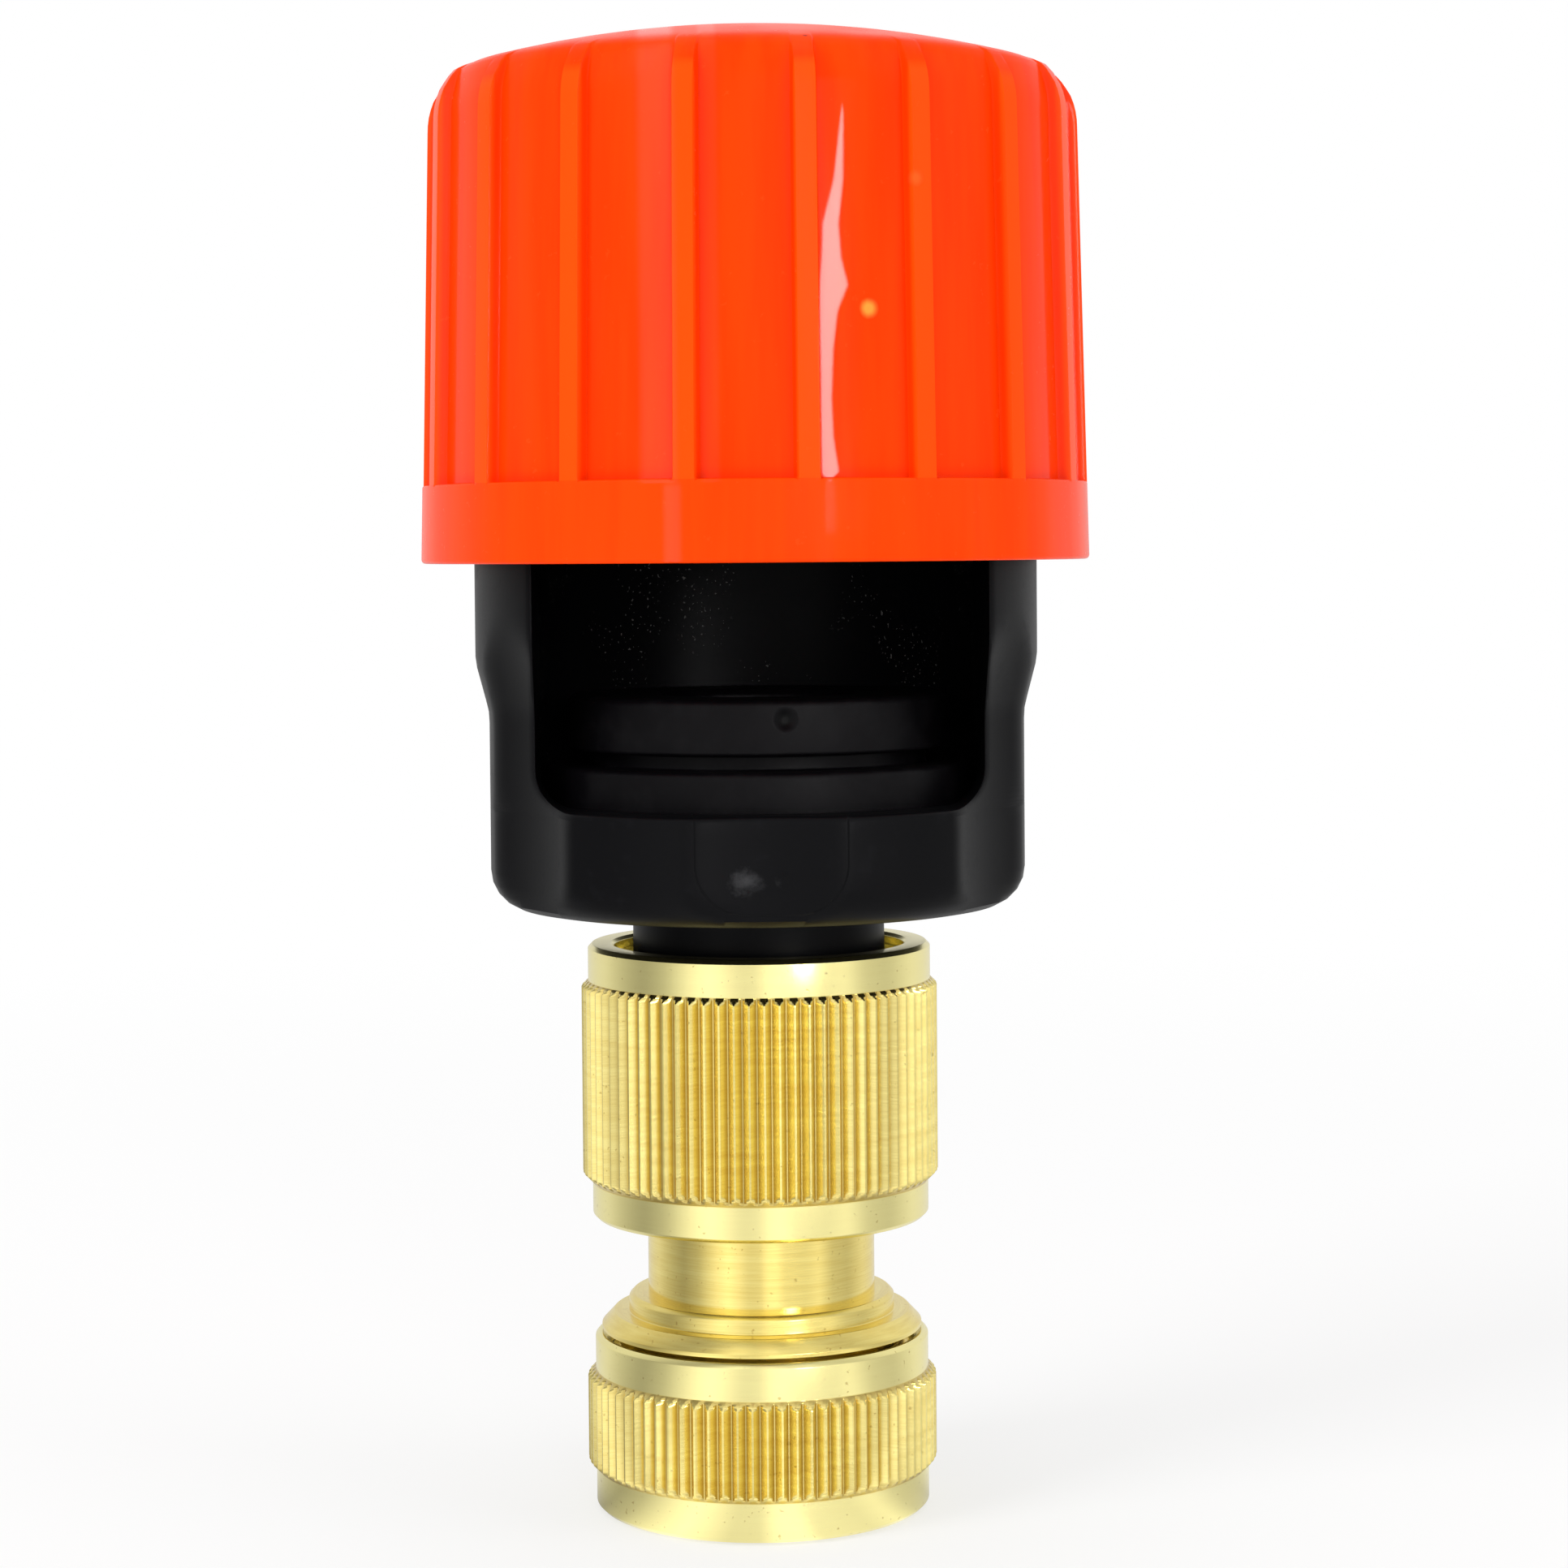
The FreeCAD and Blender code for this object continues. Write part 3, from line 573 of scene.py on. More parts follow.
# A helical ridge added to, or cut into, a plain band between low and high, fading out at its ends
def thread(low, high, pitch, rise, width, lead, fade):
    def shape(radius, height, angle):
        phase = np.abs((height / pitch - angle / (2 * math.pi) + lead + 0.5) % 1.0 - 0.5)
        ridge = np.clip((width / 2 + threadFlank - phase) / threadFlank, 0, 1)
        ends = np.clip((height - low) / fade, 0, 1) * np.clip((high - height) / fade, 0, 1)
        banded = (height > low) & (height < high)
        return np.where(banded, radius + rise * ridge * ends, radius), height
    return shape


# A knurled side before its teeth are cut: stock over the tips, bevels, roundings and rows
knurledBlank = {"stock": 0.2, "bevel": 0.35, "soft": 0.12, "topSoft": 0.1, "beside": 0.05, "run": 0.11}


# A turning with a toothed band between two plain ones; inside holds the corners of its bore, top first
def knurledTurning(s, inside):
    stock, bevel, soft, topSoft, beside, run = knurledBlank.values()
    blank = s.knurlTip + stock
    low, high = s.foot + s.footBand, s.top - s.topBand
    rise, fall = low + blank - s.footRadius, high - blank + s.topRadius
    # Rows close beside each edge keep the normals of the long faces straight
    outside = [(s.footRadius - bevel, s.foot, soft), (s.footRadius, s.foot + bevel, soft),
               (s.footRadius, low - beside), (s.footRadius, low, 0, run), (blank, rise),
               (blank, rise + beside), (blank, fall - beside), (blank, fall, 0, run), (s.topRadius, high),
               (s.topRadius, high + beside), (s.topRadius, s.top - bevel, soft),
               (s.topRadius - bevel, s.top, topSoft)]
    teeth = knurl(low, high, s.knurlTip, s.knurlDepth, s.teeth)
    return [turned(roundedPath(outside + inside), knurlAngles(s.teeth), teeth)]


hoseNut = {"foot": 0, "top": 14.3, "footRadius": 13.75, "topRadius": 13.75, "knurlTip": 14.4, "footBand": 3.2,
           "topBand": 3.0, "teeth": 76, "knurlDepth": 0.6, "mouth": 13.15, "bore": 12.56, "boreFoot": 5.6,
           "cone": 10.75, "coneFoot": 9.4, "lip": 2.6, "entry": 8.8, "bevel": 0.6}


def makeHoseNut():
    s = Named(hoseNut)
    inside = [(s.mouth, s.top, 0.08), (s.bore, s.top - s.bevel), (s.bore, s.boreFoot), (s.cone, s.boreFoot),
              (s.coneFoot, s.lip), (s.entry, s.lip, 0.1), (s.entry, s.bevel, 0.1),
              (s.entry + s.bevel, s.foot, 0.1)]
    parts = knurledTurning(s, inside)
    return makePiece("hose_nut_turned", parts, knurledBrass, "nut", ["hose_nut"])


releaseCollar = {"foot": 23.9, "top": 46.4, "footRadius": 13.85, "topRadius": 14.1, "knurlTip": 14.65,
                 "footBand": 2.9, "topBand": 3.0, "teeth": 76, "knurlDepth": 0.6, "mouth": 11.95,
                 "mouthBevel": 0.25, "lip": 1.0, "relief": 12.97, "rampTop": 44.13, "seat": 11.75,
                 "rampFoot": 40.62, "web": 9.4, "webTop": 36.35, "webFoot": 34.8, "skirt": 12.2}


def makeReleaseCollar():
    s = Named(releaseCollar)
    inside = [(s.mouth + s.mouthBevel, s.top, 0.08), (s.mouth, s.top - s.mouthBevel, 0.08),
              (s.mouth, s.top - s.lip, 0.08), (s.relief, s.top - s.lip), (s.relief, s.rampTop),
              (s.seat, s.rampFoot), (s.seat, s.webTop), (s.web, s.webTop, 0.1), (s.web, s.webFoot, 0.1),
              (s.skirt, s.webFoot), (s.skirt, s.foot, 0.1)]
    parts = knurledTurning(s, inside)
    return makePiece("release_collar_turned", parts, knurledBrass, "collar", ["release_collar"])


tailBody = {"flange": 14.6, "flangeRadius": 13.2, "flangeTop": 16.0, "flangeTopRadius": 12.2, "bevel": 0.35,
            "step": 10.95, "stepTop": 17.5, "joint": 8.6, "jointDepth": 5, "threadLow": 8.0,
            "threadHigh": 13.9, "threadPitch": 1.5, "thread": 12.5, "ridge": 0.12, "relief": 11.7,
            "reliefDrop": 0.7, "bore": 4.8, "root": 6.2, "barb": 6.8, "tip": 3.8, "barbPitch": 1.3,
            "barbs": 3, "barbTop": 0.75, "barbEnd": 0.8}


def makeTailBody():
    s = Named(tailBody)
    barbs = []
    for index in range(s.barbs):
        low = s.tip + index * s.barbPitch
        barbs += [(s.barb, low + s.barbPitch * s.barbTop, 0.05),
                  (s.root, low + s.barbPitch * s.barbEnd)]
    reliefFoot = s.threadLow - s.reliefDrop
    jointFoot = s.stepTop - s.jointDepth
    corners = [(s.bore, s.tip, 0.1), (s.root, s.tip, 0.1)] + barbs + [
        (s.root, reliefFoot), (s.relief, reliefFoot, 0.1, 0.13), (s.relief, s.threadHigh),
        (s.relief, s.flange), (s.flangeRadius, s.flange, 0.08),
        (s.flangeRadius, s.flange + s.bevel, 0.1), (s.flangeTopRadius, s.flangeTop, 0.12),
        (s.step, s.flangeTop, 0.1), (s.step, s.stepTop - s.bevel, 0.2),
        (s.step - s.bevel, s.stepTop, 0.15), (s.joint, s.stepTop, 0.05),
        (s.joint, jointFoot), (s.bore, jointFoot)]
    helix = thread(s.threadLow - 0.6, s.threadHigh, s.threadPitch, s.thread - s.relief, s.ridge, 0, 0.8)
    parts = [turned(roundedPath(corners), evenAngles(224), helix)]
    return makePiece("tail_body_turned", parts, brass, "connector", ["tail_body"])


# front and back are how many columns of the wall lie under the window and round the rest
tapBody = {"bottom": 49.2, "footRise": 0.35, "corner": 3.2, "foot": 21.95, "wide": 23.05, "taperFoot": 65.5,
           "taperTop": 69.7, "taperRound": 4.0, "top": 96.4, "fluteRadius": 26.0, "fluteFloor": 20.5,
           "fluteStraight": 65.4, "fluteSlope": 0.364, "flutes": 6, "crease": 0.55, "sill": 58.2,
           "halfWidth": 17.9, "windowCorner": 3.0, "edge": 0.5, "floor": 56.4, "pocket": 17.9,
           "funnel": 12.0, "funnelFoot": 51.8, "bore": 4.6, "front": 112, "back": 304}
topRing = {"low": 96.4, "high": 114.5, "bore": 20.3, "crest": 24.15, "root": 23.35, "pitch": 5.0,
           "blend": 0.2, "bevel": 0.5, "ridge": 0.36}
clickSpigot = {"foot": 24.98, "nose": 7.08, "side": 7.78, "sideFoot": 25.68, "ringFoot": 30.18,
               "ringTop": 32.58, "ringFloor": 5.95, "sideTop": 35.58, "lip": 8.6, "lipFoot": 36.4,
               "lipTop": 38.0, "groove": 7.4, "grooveFoot": 39.2, "grooveTop": 44.0, "shoulder": 10.35,
               "top": 49.9}


# Radius of the tap body's outside with its finger flutes; the angle is counted from the window
def flutedRadius(radius, height, angle):
    s = Named(tapBody)
    pitch = 2 * math.pi / s.flutes
    off = (angle + pitch / 2) % pitch - pitch / 2
    size = s.fluteRadius - np.maximum(height - s.fluteStraight, 0) * s.fluteSlope
    centre = s.fluteFloor + s.fluteRadius
    chord = size ** 2 - (centre * np.sin(off)) ** 2
    flute = np.where((chord > 0) & (size > 0), centre * np.cos(off) - np.sqrt(np.maximum(chord, 0)), 60.0)
    share = np.clip(0.5 + 0.5 * (flute - radius) / s.crease, 0, 1)
    return flute * (1 - share) + radius * share - s.crease * share * (1 - share)


# Points round the axis at one height, with the angle counted from the window
def ringPoints(radius, angle, height):
    return np.stack([radius * np.sin(angle), -radius * np.cos(angle), np.full_like(angle, height)], -1)


def makeTapShell():
    s = Named(tapBody)
    soft = s.edge
    outline = roundedPath([(9.0, s.bottom), (s.foot, s.bottom + s.footRise, s.corner, 1.4),
                           (s.foot, s.taperFoot, s.taperRound, 0.9),
                           (s.wide, s.taperTop, s.taperRound), (s.wide, s.top + 0.5)], False, 1.3)

    def plain(height):
        side = outline[outline[:, 1] > s.bottom + s.footRise + s.corner * 0.9]
        return np.interp(height, side[:, 1], side[:, 0])

    def corner(turn, grow):
        middle = s.halfWidth - s.windowCorner
        return (middle + (s.windowCorner + grow) * math.sin(turn),
                s.sill + s.windowCorner - (s.windowCorner + grow) * math.cos(turn))

    turns = np.radians(np.linspace(0, 90, 10))
    upright = np.concatenate([np.arange(62.0, 74.4, 0.9), np.linspace(75.4, s.top + 0.5, 9)])
    edgeOut = [corner(t, soft) for t in turns] + [(s.halfWidth + soft, z) for z in upright]
    edgeIn = [corner(t, 0) for t in turns] + [(s.halfWidth, z) for z in upright]

    # Angle at which the fluted wall is this wide, found in steps
    def edgeAngle(width, height):
        angle = math.asin(width / plain(height))
        for _ in range(30):
            angle = math.asin(width / float(flutedRadius(plain(height), height, angle)))
        return angle

    lowRows = [tuple(p) for p in outline if p[1] < edgeOut[0][1] - 0.25]
    start = edgeAngle(*edgeOut[0])
    frontShare = np.linspace(-1, 1, s.front + 1)[:-1]
    backShare = np.linspace(0, 1, s.back + 1)
    whole = []
    for radius, height in lowRows + [(plain(edgeOut[0][1]), edgeOut[0][1])]:
        angle = np.concatenate([frontShare * start, start + backShare[:-1] * 2 * (math.pi - start)])
        whole.append(ringPoints(flutedRadius(radius, height, angle), angle, height))
    columns = len(whole[0])
    points = np.concatenate(whole)
    faces = gridFaces(len(whole), columns, False, True)

    # Above the sill the wall is open in front: each row runs from one jamb round the back to the other
    wallRows = [whole[-1][np.r_[s.front:columns, 0]]]
    for width, height in edgeOut[1:]:
        edge = edgeAngle(width, height)
        angle = edge + backShare * 2 * (math.pi - edge)
        wallRows.append(ringPoints(flutedRadius(plain(height), height, angle), angle, height))
    wall = (np.concatenate(wallRows), gridFaces(len(wallRows), len(backShare), False, False))

    # The window's edge runs from the top of one jamb down, along the sill and up the other. Its rows are the
    # outer edge, the rounded corner, the tunnel through the wall and the inner edge
    sillOut = whole[-1][:s.front + 1]
    outer = [row[-1] for row in wallRows[:0:-1]] + list(sillOut) + [row[0] for row in wallRows[1:]]
    outer = np.array(outer)
    spread = np.linspace(-1, 1, s.front + 1) * (s.halfWidth - s.windowCorner)
    widths, heights = [w for w, _ in edgeIn[1:]], [z for _, z in edgeIn[1:]]
    inWidth = np.array([-w for w in widths[::-1]] + list(spread) + widths)
    inHeight = np.array(heights[::-1] + [s.sill] * len(spread) + heights)
    depth = []
    for width, height in zip(inWidth, inHeight):
        angle = edgeAngle(width, height)
        depth.append(-float(flutedRadius(plain(height), height, angle)) * math.cos(angle))
    depth = np.array(depth)
    knee = np.stack([inWidth, depth, inHeight], -1)
    tunnel = np.stack([inWidth, depth + soft, inHeight], -1)
    inner = np.stack([inWidth, -np.sqrt(np.maximum(s.pocket ** 2 - inWidth ** 2, 0)), inHeight], -1)
    rows = [outer]
    for t in (0.25, 0.5, 0.75):
        rows.append((1 - t) ** 2 * outer + 2 * t * (1 - t) * knee + t * t * tunnel)
    rows += [tunnel, tunnel * 0.6 + inner * 0.4, tunnel * 0.2 + inner * 0.8, inner]
    edgeBand = (np.concatenate(rows), gridFaces(len(rows), len(outer), False, False))

    # Pocket: the kerb's inner wall under the window, and the round wall behind
    kerb = inner[len(upright):len(inner) - len(upright)]
    low = kerb.copy()
    low[:, 2] = s.floor
    kerbWall = (np.concatenate([kerb, low]), gridFaces(2, len(kerb), False, False))
    levels = [z for _, z in edgeIn if z >= s.sill + s.windowCorner - 0.01][::-1] + [s.floor]
    around = np.linspace(math.pi / 2, 3 * math.pi / 2, 121)
    back = np.concatenate([ringPoints(s.pocket, around, z) for z in levels])
    backWall = (back, gridFaces(len(levels), len(around), False, False))
    mouth = roundedPath([(s.pocket, s.floor), (s.funnel, s.floor, 0.3),
                         (s.bore, s.funnelFoot, 0.4), (s.bore, s.bottom + 0.7)], False)
    floor = turned(mouth, evenAngles(160), None, False)
    return [(points, faces), wall, edgeBand, kerbWall, backWall, floor]


def makeTapBody():
    bore, c, r = tapBody["bore"], Named(clickSpigot), Named(topRing)
    spigot = roundedPath([(bore, c.foot, 0.2), (c.nose, c.foot, 0.1), (c.side, c.sideFoot, 0.1),
                          (c.side, c.ringFoot), (c.ringFloor, c.ringFoot),
                          (c.ringFloor, c.ringTop), (c.side, c.ringTop), (c.side, c.sideTop),
                          (c.lip, c.lipFoot, 0.15), (c.lip, c.lipTop, 0.15),
                          (c.groove, c.grooveFoot, 0.2), (c.groove, c.grooveTop, 0.2),
                          (c.shoulder, c.grooveTop, 0.3), (c.shoulder, c.top), (bore, c.top)])
    blend, bevel = r.blend, r.bevel
    ring = roundedPath([(r.root + blend, r.low, 0.2), (r.root + blend, r.low + bevel, 0.2, 0.36),
                        (r.root, r.high - bevel, 0.2), (r.root - bevel, r.high, 0.3),
                        (r.bore, r.high, 0.3), (r.bore, r.low)])
    helix = thread(r.low + 0.4, r.high - 0.2, r.pitch, r.crest - r.root, r.ridge, 0.0, 1.6)
    parts = makeTapShell() + [turned(spigot, evenAngles(144)), turned(ring, evenAngles(256), helix)]
    return makePiece("tap_body_moulding", parts, blackMoulding, "adaptor", ["tap_body"])


tapSeal = {"flange": 17.3, "foot": 56.4, "flangeTop": 61.3, "groove": 13.9, "topFoot": 62.5,
           "topRadius": 15.5, "top": 66.9, "hole": 8.0, "holeBevel": 0.5}


def makeTapSeal():
    s = Named(tapSeal)
    path = roundedPath([(s.hole, s.foot), (s.flange, s.foot, 0.3),
                        (s.flange, s.flangeTop, 0.5), (s.groove, s.flangeTop, 0.2),
                        (s.groove, s.topFoot, 0.2), (s.topRadius, s.topFoot, 0.35),
                        (s.topRadius, s.top, 0.55), (s.hole + s.holeBevel, s.top, 0.4),
                        (s.hole, s.top - s.holeBevel, 0.4)])
    parts = [turned(path, evenAngles(192))]
    return makePiece("tap_seal_moulding", parts, rubber, "adaptor", ["tap_seal"])


screwCap = {"foot": 77.7, "top": 120.7, "band": 27.35, "bandTop": 84.0, "shoulder": 26.5,
            "shoulderFoot": 115.1, "shoulderRound": 5.0, "rim": 24.8, "rimFoot": 117.15, "rimWidth": 1.2,
            "crownRound": 85.7, "crownFlat": 0.62, "panelDepth": 1.0, "panelTop": 114.5, "ribs": 18,
            "ribWidth": 1.9, "flank": 0.3, "bore": 24.26, "lead": 0.8, "ceiling": 114.6, "ceilingTop": 118.3,
            "pitch": 5.0, "threadCrest": 23.5, "ridge": 0.3, "turn": -2.85, "column": 4.2, "screwHole": 1.6,
            "columnFoot": 84.4, "columnTop": 119.5, "webFoot": 7.0, "webHead": 11.0, "webHalf": 0.9}


# Evenly spaced points along a path, keeping its ends
def resample(path, count):
    run = np.concatenate([[0], np.cumsum(np.linalg.norm(np.diff(path, axis=0), axis=1))])
    spots = np.linspace(0, run[-1], count)
    return np.stack([np.interp(spots, run, path[:, 0]), np.interp(spots, run, path[:, 1])], -1)


def makeScrewCap():
    s = Named(screwCap)

    def crown(radii, top):
        off = np.maximum(np.asarray(radii) - s.crownFlat, 0)
        return np.stack([radii, top - s.crownRound + np.sqrt(s.crownRound ** 2 - off ** 2)], -1)

    lean = (s.band - s.shoulder) / (s.shoulderFoot - s.foot)
    ledge = s.band - lean * (s.bandTop - s.foot)
    floor = ledge - s.panelDepth
    crownEdge = tuple(crown([s.rim - s.rimWidth], s.top)[0])
    edgeFoot, edgeTop = s.bandTop - 0.35, s.bandTop + 0.4
    base = roundedPath([(s.bore + s.lead, s.foot, 0.15), (s.band, s.foot, 0.35),
                        (ledge, edgeFoot)], False)
    # A rib's section and the sunk panel's, with as many points each
    ribSide = np.array([(ledge, edgeFoot), (ledge, s.bandTop), (ledge - 0.01, edgeTop)])
    ribTop = roundedPath([(ledge - 0.01, edgeTop), (s.shoulder, s.shoulderFoot, s.shoulderRound, 0.5),
                          (s.rim, s.rimFoot, 1.0), crownEdge], False, 3.0, 0.73)
    panelSide = roundedPath([(ledge, edgeFoot), (ledge, s.bandTop, 0.14), (floor, s.bandTop, 0.12),
                             (floor - 0.01, edgeTop)], False)
    panelTop = roundedPath([(floor - 0.01, edgeTop),
                            (s.shoulder - s.panelDepth, s.panelTop, s.shoulderRound, 0.5),
                            (s.rim - 0.05, s.rimFoot - 0.1, 0.9), crownEdge], False, 3.0, 0.6)
    dome = crown(np.linspace(crownEdge[0] - 1.6, 0, 12), s.top)
    ribPath = np.concatenate([base, resample(ribSide, 16)[1:], resample(ribTop, 52)[1:], dome])
    panelPath = np.concatenate([base, resample(panelSide, 16)[1:], resample(panelTop, 52)[1:], dome])
    period = 2 * math.pi / s.ribs
    ribHalf = s.ribWidth / 2 / s.band / period
    flank = s.flank / s.band / period
    steps = np.array([-1.0, -0.65, -0.3, 0, 0.3, 0.65, 1.0]) * flank / 2
    spots = np.concatenate([steps + ribHalf, np.linspace(ribHalf + flank, 1 - ribHalf - flank, 8),
                            1 - ribHalf + steps, [1 - ribHalf / 2, 1.0, 1 + ribHalf / 2]])
    angles = ((np.arange(s.ribs)[:, None] + spots[None, :]).ravel() + 0.5) * period - math.pi / 2
    angles = angles + math.radians(s.turn)
    place = np.tile(spots % 1.0, s.ribs)
    off = np.minimum(place, 1 - place)
    sunk = np.clip((off - ribHalf + flank / 2) / flank, 0, 1)
    sunk = sunk * sunk * (3 - 2 * sunk)
    mix = (1 - sunk)[None, :, None] * ribPath[:, None, :] + sunk[None, :, None] * panelPath[:, None, :]
    radius, height = mix[..., 0], mix[..., 1]
    points = np.stack([radius * np.cos(angles), radius * np.sin(angles), height], -1).reshape(-1, 3)
    skin = (points, gridFaces(len(ribPath), len(angles), False, True))
    side = roundedPath([(s.bore + s.lead, s.foot, 0, 0.4), (s.bore, s.foot + s.lead, 0, 0.36),
                        (s.bore, s.ceiling)], False)
    inside = np.concatenate([side, crown(np.linspace(s.bore - 0.9, 0, 12), s.ceilingTop)])
    helix = thread(s.foot + 1.2, s.ceiling - 0.4, s.pitch, s.threadCrest - s.bore, s.ridge, 0.5, 1.6)
    lining = turned(inside, angles, helix, False)

    # Four webs, one a quarter turn, that widen towards the crown
    def webbed(radius, height, angle):
        off = (angle + math.pi / 4) % (math.pi / 2) - math.pi / 4
        rise = (height - s.columnFoot) / (s.columnTop - s.columnFoot)
        reach = s.webFoot + (s.webHead - s.webFoot) * rise
        web = np.minimum(s.webHalf / np.maximum(np.abs(np.sin(off)), 1e-6), reach)
        return np.where(radius > 3.0, np.maximum(radius, web), radius), height

    # Columns lie closest where a web leaves the round
    quarter = np.radians([-1.2, 1.2, 4, 5.2, 7.0, 9.0, 12.4, 16, 24, 34,
                          45, 56, 66, 74, 77.6, 81, 83, 84.8, 86])
    around = np.concatenate([quarter + quadrant * math.pi / 2 for quadrant in range(4)])
    column = roundedPath([(s.screwHole, s.columnFoot, 0.1), (s.column, s.columnFoot, 0.1),
                          (s.column, s.columnTop), (s.screwHole, s.columnTop)])
    parts = [skin, lining, turned(column, around, webbed)]
    return makePiece("screw_cap_moulding", parts, orangeMoulding, "cap", ["screw_cap"])


for build in (makeHoseNut, makeReleaseCollar, makeTailBody, makeTapBody, makeTapSeal, makeScrewCap):
    made = build()
    print(made.name, len(made.data.polygons), "faces")

nodeFinish = {"joint_seal": rubber, "grip_collet": nylon, "socket_sleeve": smoothBrass,
              "spring_clip": springSteel, "spring_washer": springSteel, "collar_spring": springSteel,
              "spigot_o_ring": rubber, "tap_seal": rubber, "pressure_disc": blackDisc, "pad_face": rubber,
              "pad_screw": screwSteel, "hose_nut": knurledBrass, "release_collar": knurledBrass,
              "tail_body": brass, "tap_body": blackMoulding, "screw_cap": orangeMoulding}
for number in range(1, 7):
    nodeFinish["lock_ball_%d" % number] = ballSteel
for name, material in nodeFinish.items():
    dressNode(name, material)
print("nodes dressed:", len(nodeFinish))


# The photograph's view: the camera is level with the body, tipped down a little, and the object turned to it
viewpoint = {"lens": 81.19, "distance": 0.29094, "height": 0.07895, "tip": 2.0, "shift": -0.0732,
             "side": 0.00226, "azimuth": -1.95, "roll": -0.457}


def makeCamera():
    v = Named(viewpoint)
    data = bpy.data.cameras.new("camera")
    data.lens = v.lens
    data.sensor_width = 36
    data.shift_y = v.shift
    data.clip_start = 0.01
    data.clip_end = 50
    camera = bpy.data.objects.new("camera", data)
    bpy.context.scene.collection.objects.link(camera)
    turn = Matrix.Rotation(math.radians(v.azimuth), 4, "Z")
    place = Matrix.Translation((v.side, -v.distance, v.height))
    look = Matrix.Rotation(math.radians(90 - v.tip), 4, "X")
    roll = Matrix.Rotation(math.radians(v.roll), 4, "Z")
    camera.matrix_world = turn @ place @ look @ roll
    bpy.context.scene.camera = camera


# What glossy surfaces mirror, as (angle round the object from its front in degrees, brightness there)
surround = [(-180, 0.74), (-125, 0.78), (-100, 0.5), (-84, 0.36), (-66, 0.54), (-46, 1.08), (-34, 1.35),
            (-14, 0.86), (-3, 0.88), (5, 1.3), (14, 1.3), (20, 0.98), (42, 0.9), (56, 1.06), (72, 0.68),
            (92, 0.6), (118, 0.86), (180, 0.76)]
studio = {"room": 0.62, "brightest": 1.6, "stripAngle": 28.0, "stripHalf": 5.5, "stripRise": 0.13,
          "stripReach": 0.12, "strip": 11.0, "floorWhite": 0.86, "floorSeen": 0.62, "floorNear": 0.09,
          "floorFar": 0.42, "floorHalf": 6.0, "floorDrop": 0.0002, "lampAim": (0, 0, 0.06)}
lamps = {"leftBox": {"place": (-0.85, -0.6, 0.7), "size": (0.5, 0.5), "power": 6.5},
         "rightBox": {"place": (0.9, -0.4, 0.5), "size": (0.6, 0.7), "power": 2.2},
         "frontBox": {"place": (0.15, -1.2, 0.3), "size": (0.5, 0.5), "power": 3.4},
         "topBox": {"place": (0.05, 0.15, 1.1), "size": (0.9, 0.9), "power": 3.0}}


# Brightness that a glossy surface meets in the direction or at the floor point (x, y)
def mirrorLevel(f, x, y):
    turnShare = f.add("ShaderNodeMath", {"operation": "ARCTAN2"}, {0: x, 1: 0 - y}) / (2 * math.pi) + 0.5
    stops = [(angle / 360 + 0.5, (level / studio["brightest"],) * 3 + (1,)) for angle, level in surround]
    ramp = f.add("ShaderNodeValToRGB", {"stops": stops}, {0: turnShare})
    return turnShare, f.split(ramp)[0] * studio["brightest"]


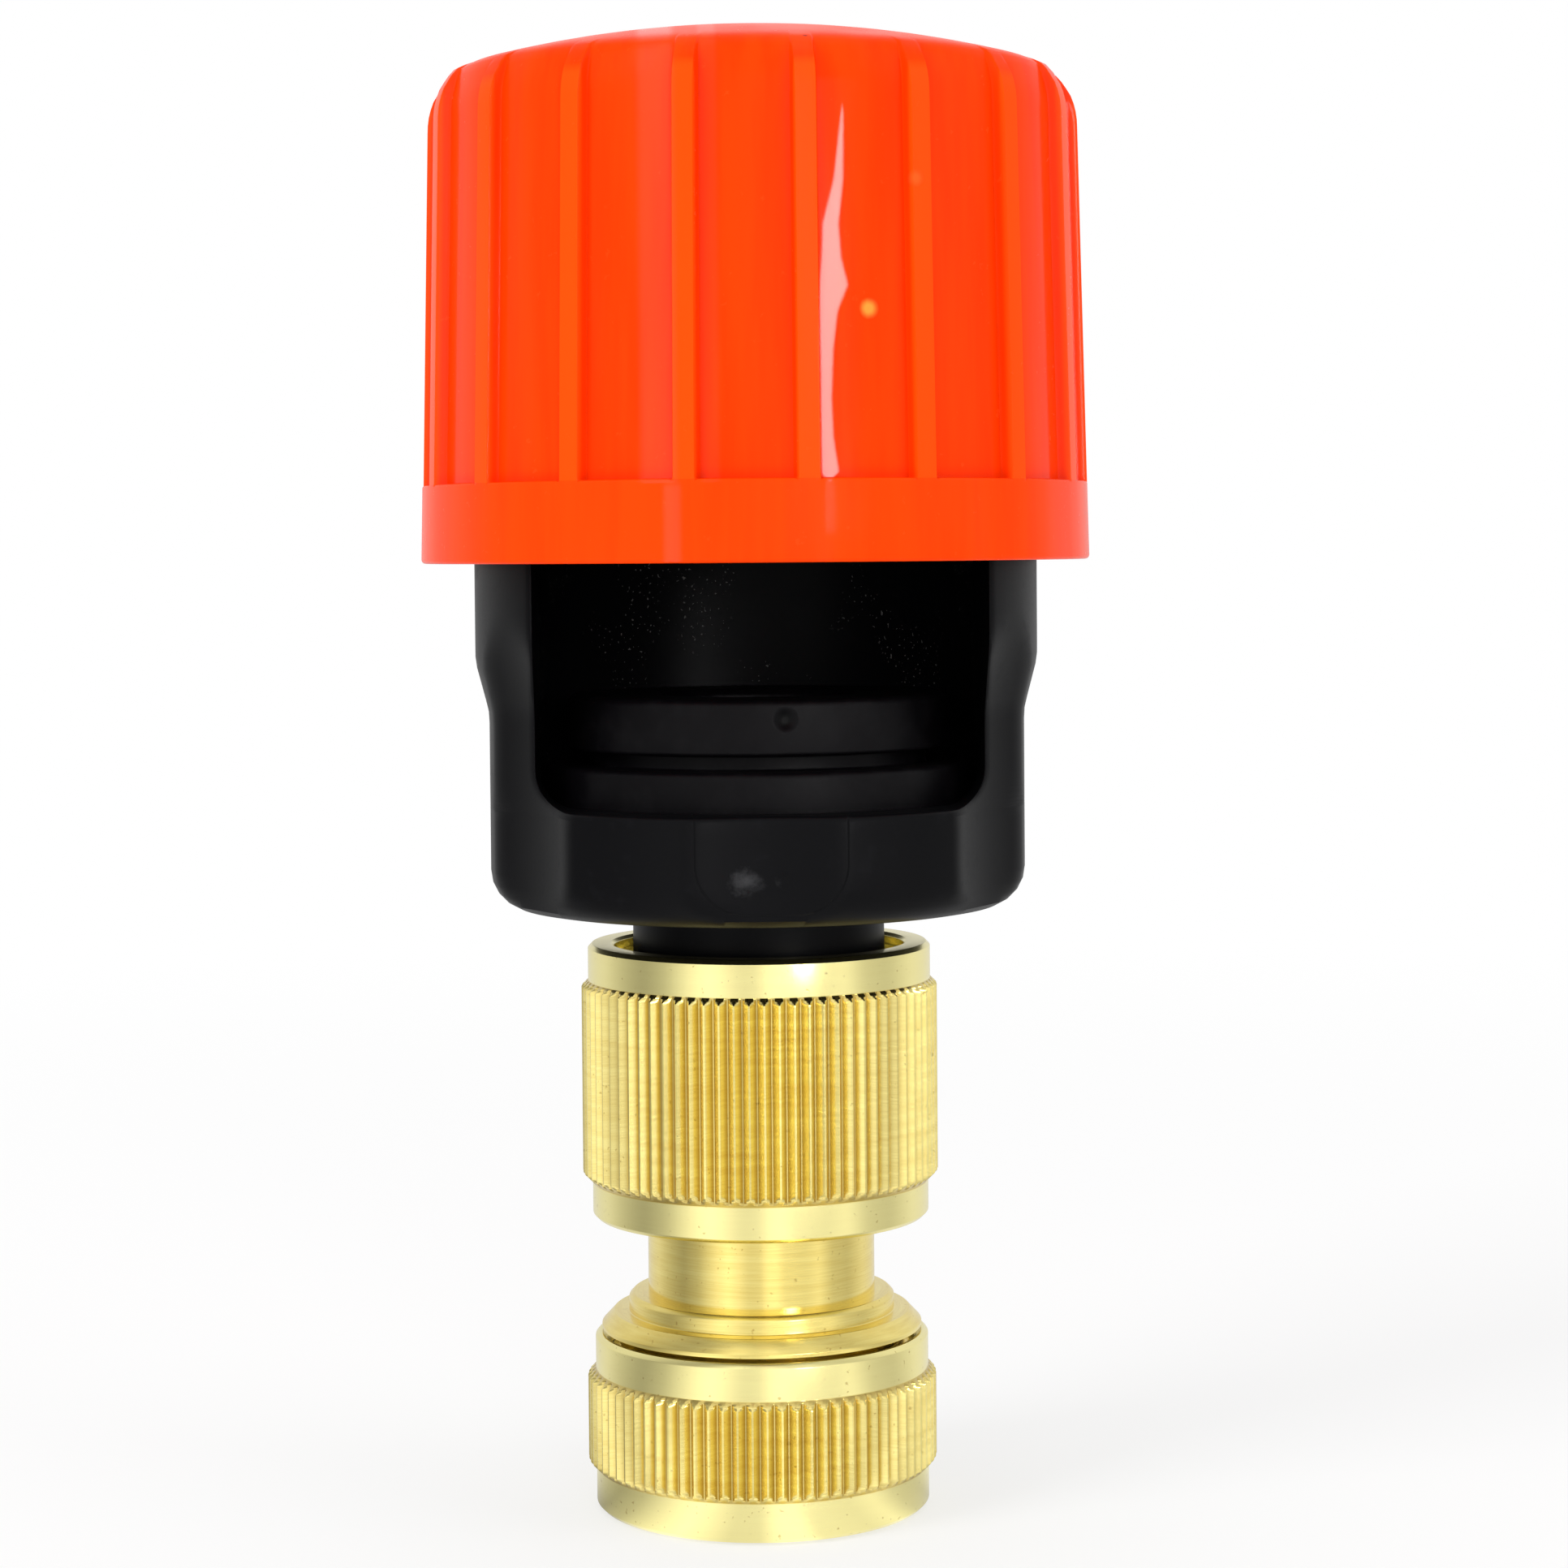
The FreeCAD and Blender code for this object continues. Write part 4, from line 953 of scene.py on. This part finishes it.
def makeWorld():
    s = Named(studio)
    world = bpy.data.worlds.new("studio")
    bpy.context.scene.world = world
    f = Finish(world)
    camera, glossy, through = f.rays("Camera", "Glossy", "Transmission")
    x, y, z = f.split(f.add("ShaderNodeTexCoord", None, None, "Generated"))
    turnShare, level = mirrorLevel(f, x, y)
    onStrip = abs(turnShare - 0.5 - s.stripAngle / 360) < s.stripHalf / 360
    mirrored = level + onStrip * (abs(z - s.stripRise) < s.stripReach) * s.strip
    # The camera sees plain white, and matt surfaces are lit by the dimmer room
    strength = s.room + (camera + through) * (1 - s.room) + glossy * (mirrored - s.room)
    sky = f.add("ShaderNodeBackground", None, {"Color": (1, 1, 1, 1), "Strength": strength})
    f.add("ShaderNodeOutputWorld", None, {"Surface": sky})


def makeFloor():
    s = Named(studio)
    half = s.floorHalf
    mesh = bpy.data.meshes.new("floor")
    corners = [(-half, -half, 0), (half, -half, 0), (half, half, 0), (-half, half, 0)]
    mesh.from_pydata(corners, [], [(0, 1, 2, 3)])
    floor = bpy.data.objects.new("floor", mesh)
    bpy.context.scene.collection.objects.link(floor)
    floor.location.z = -s.floorDrop
    material = bpy.data.materials.new("floor_white")
    f = Finish(material)
    place = f.place()
    x, y, z = f.split(place)
    level = mirrorLevel(f, x, y)[1]
    paint = f.add("ShaderNodeBsdfDiffuse", None, {"Color": (s.floorWhite,) * 3 + (1,)})
    camera, glossy = f.rays("Camera", "Glossy")
    glow = f.add("ShaderNodeEmission", None, {"Color": (1, 1, 1, 1), "Strength": camera + glossy * level})
    # The camera sees the painted floor and its shadow near the object, and plain white further off
    fade = f.step(f.away(place, (0, 0, 0)), s.floorNear, s.floorFar)
    seen = camera * (s.floorSeen + (1 - s.floorSeen) * fade) + glossy
    mixed = f.add("ShaderNodeMixShader", None, {0: seen, 1: paint, 2: glow})
    f.add("ShaderNodeOutputMaterial", None, {"Surface": mixed})
    mesh.materials.append(material)


def makeLamps():
    for name, settings in lamps.items():
        s = Named(settings)
        data = bpy.data.lights.new(name, "AREA")
        data.shape = "RECTANGLE"
        data.size, data.size_y = s.size
        data.energy = s.power
        lamp = bpy.data.objects.new(name, data)
        bpy.context.scene.collection.objects.link(lamp)
        lamp.location = s.place
        lamp.visible_glossy = False    # the surround above is what shines in the metal
        aim = Vector(studio["lampAim"]) - lamp.location
        lamp.rotation_euler = aim.to_track_quat("-Z", "Y").to_euler()


makeCamera()
makeWorld()
makeFloor()
makeLamps()
bpy.context.scene.view_settings.view_transform = "Standard"
print("studio made")
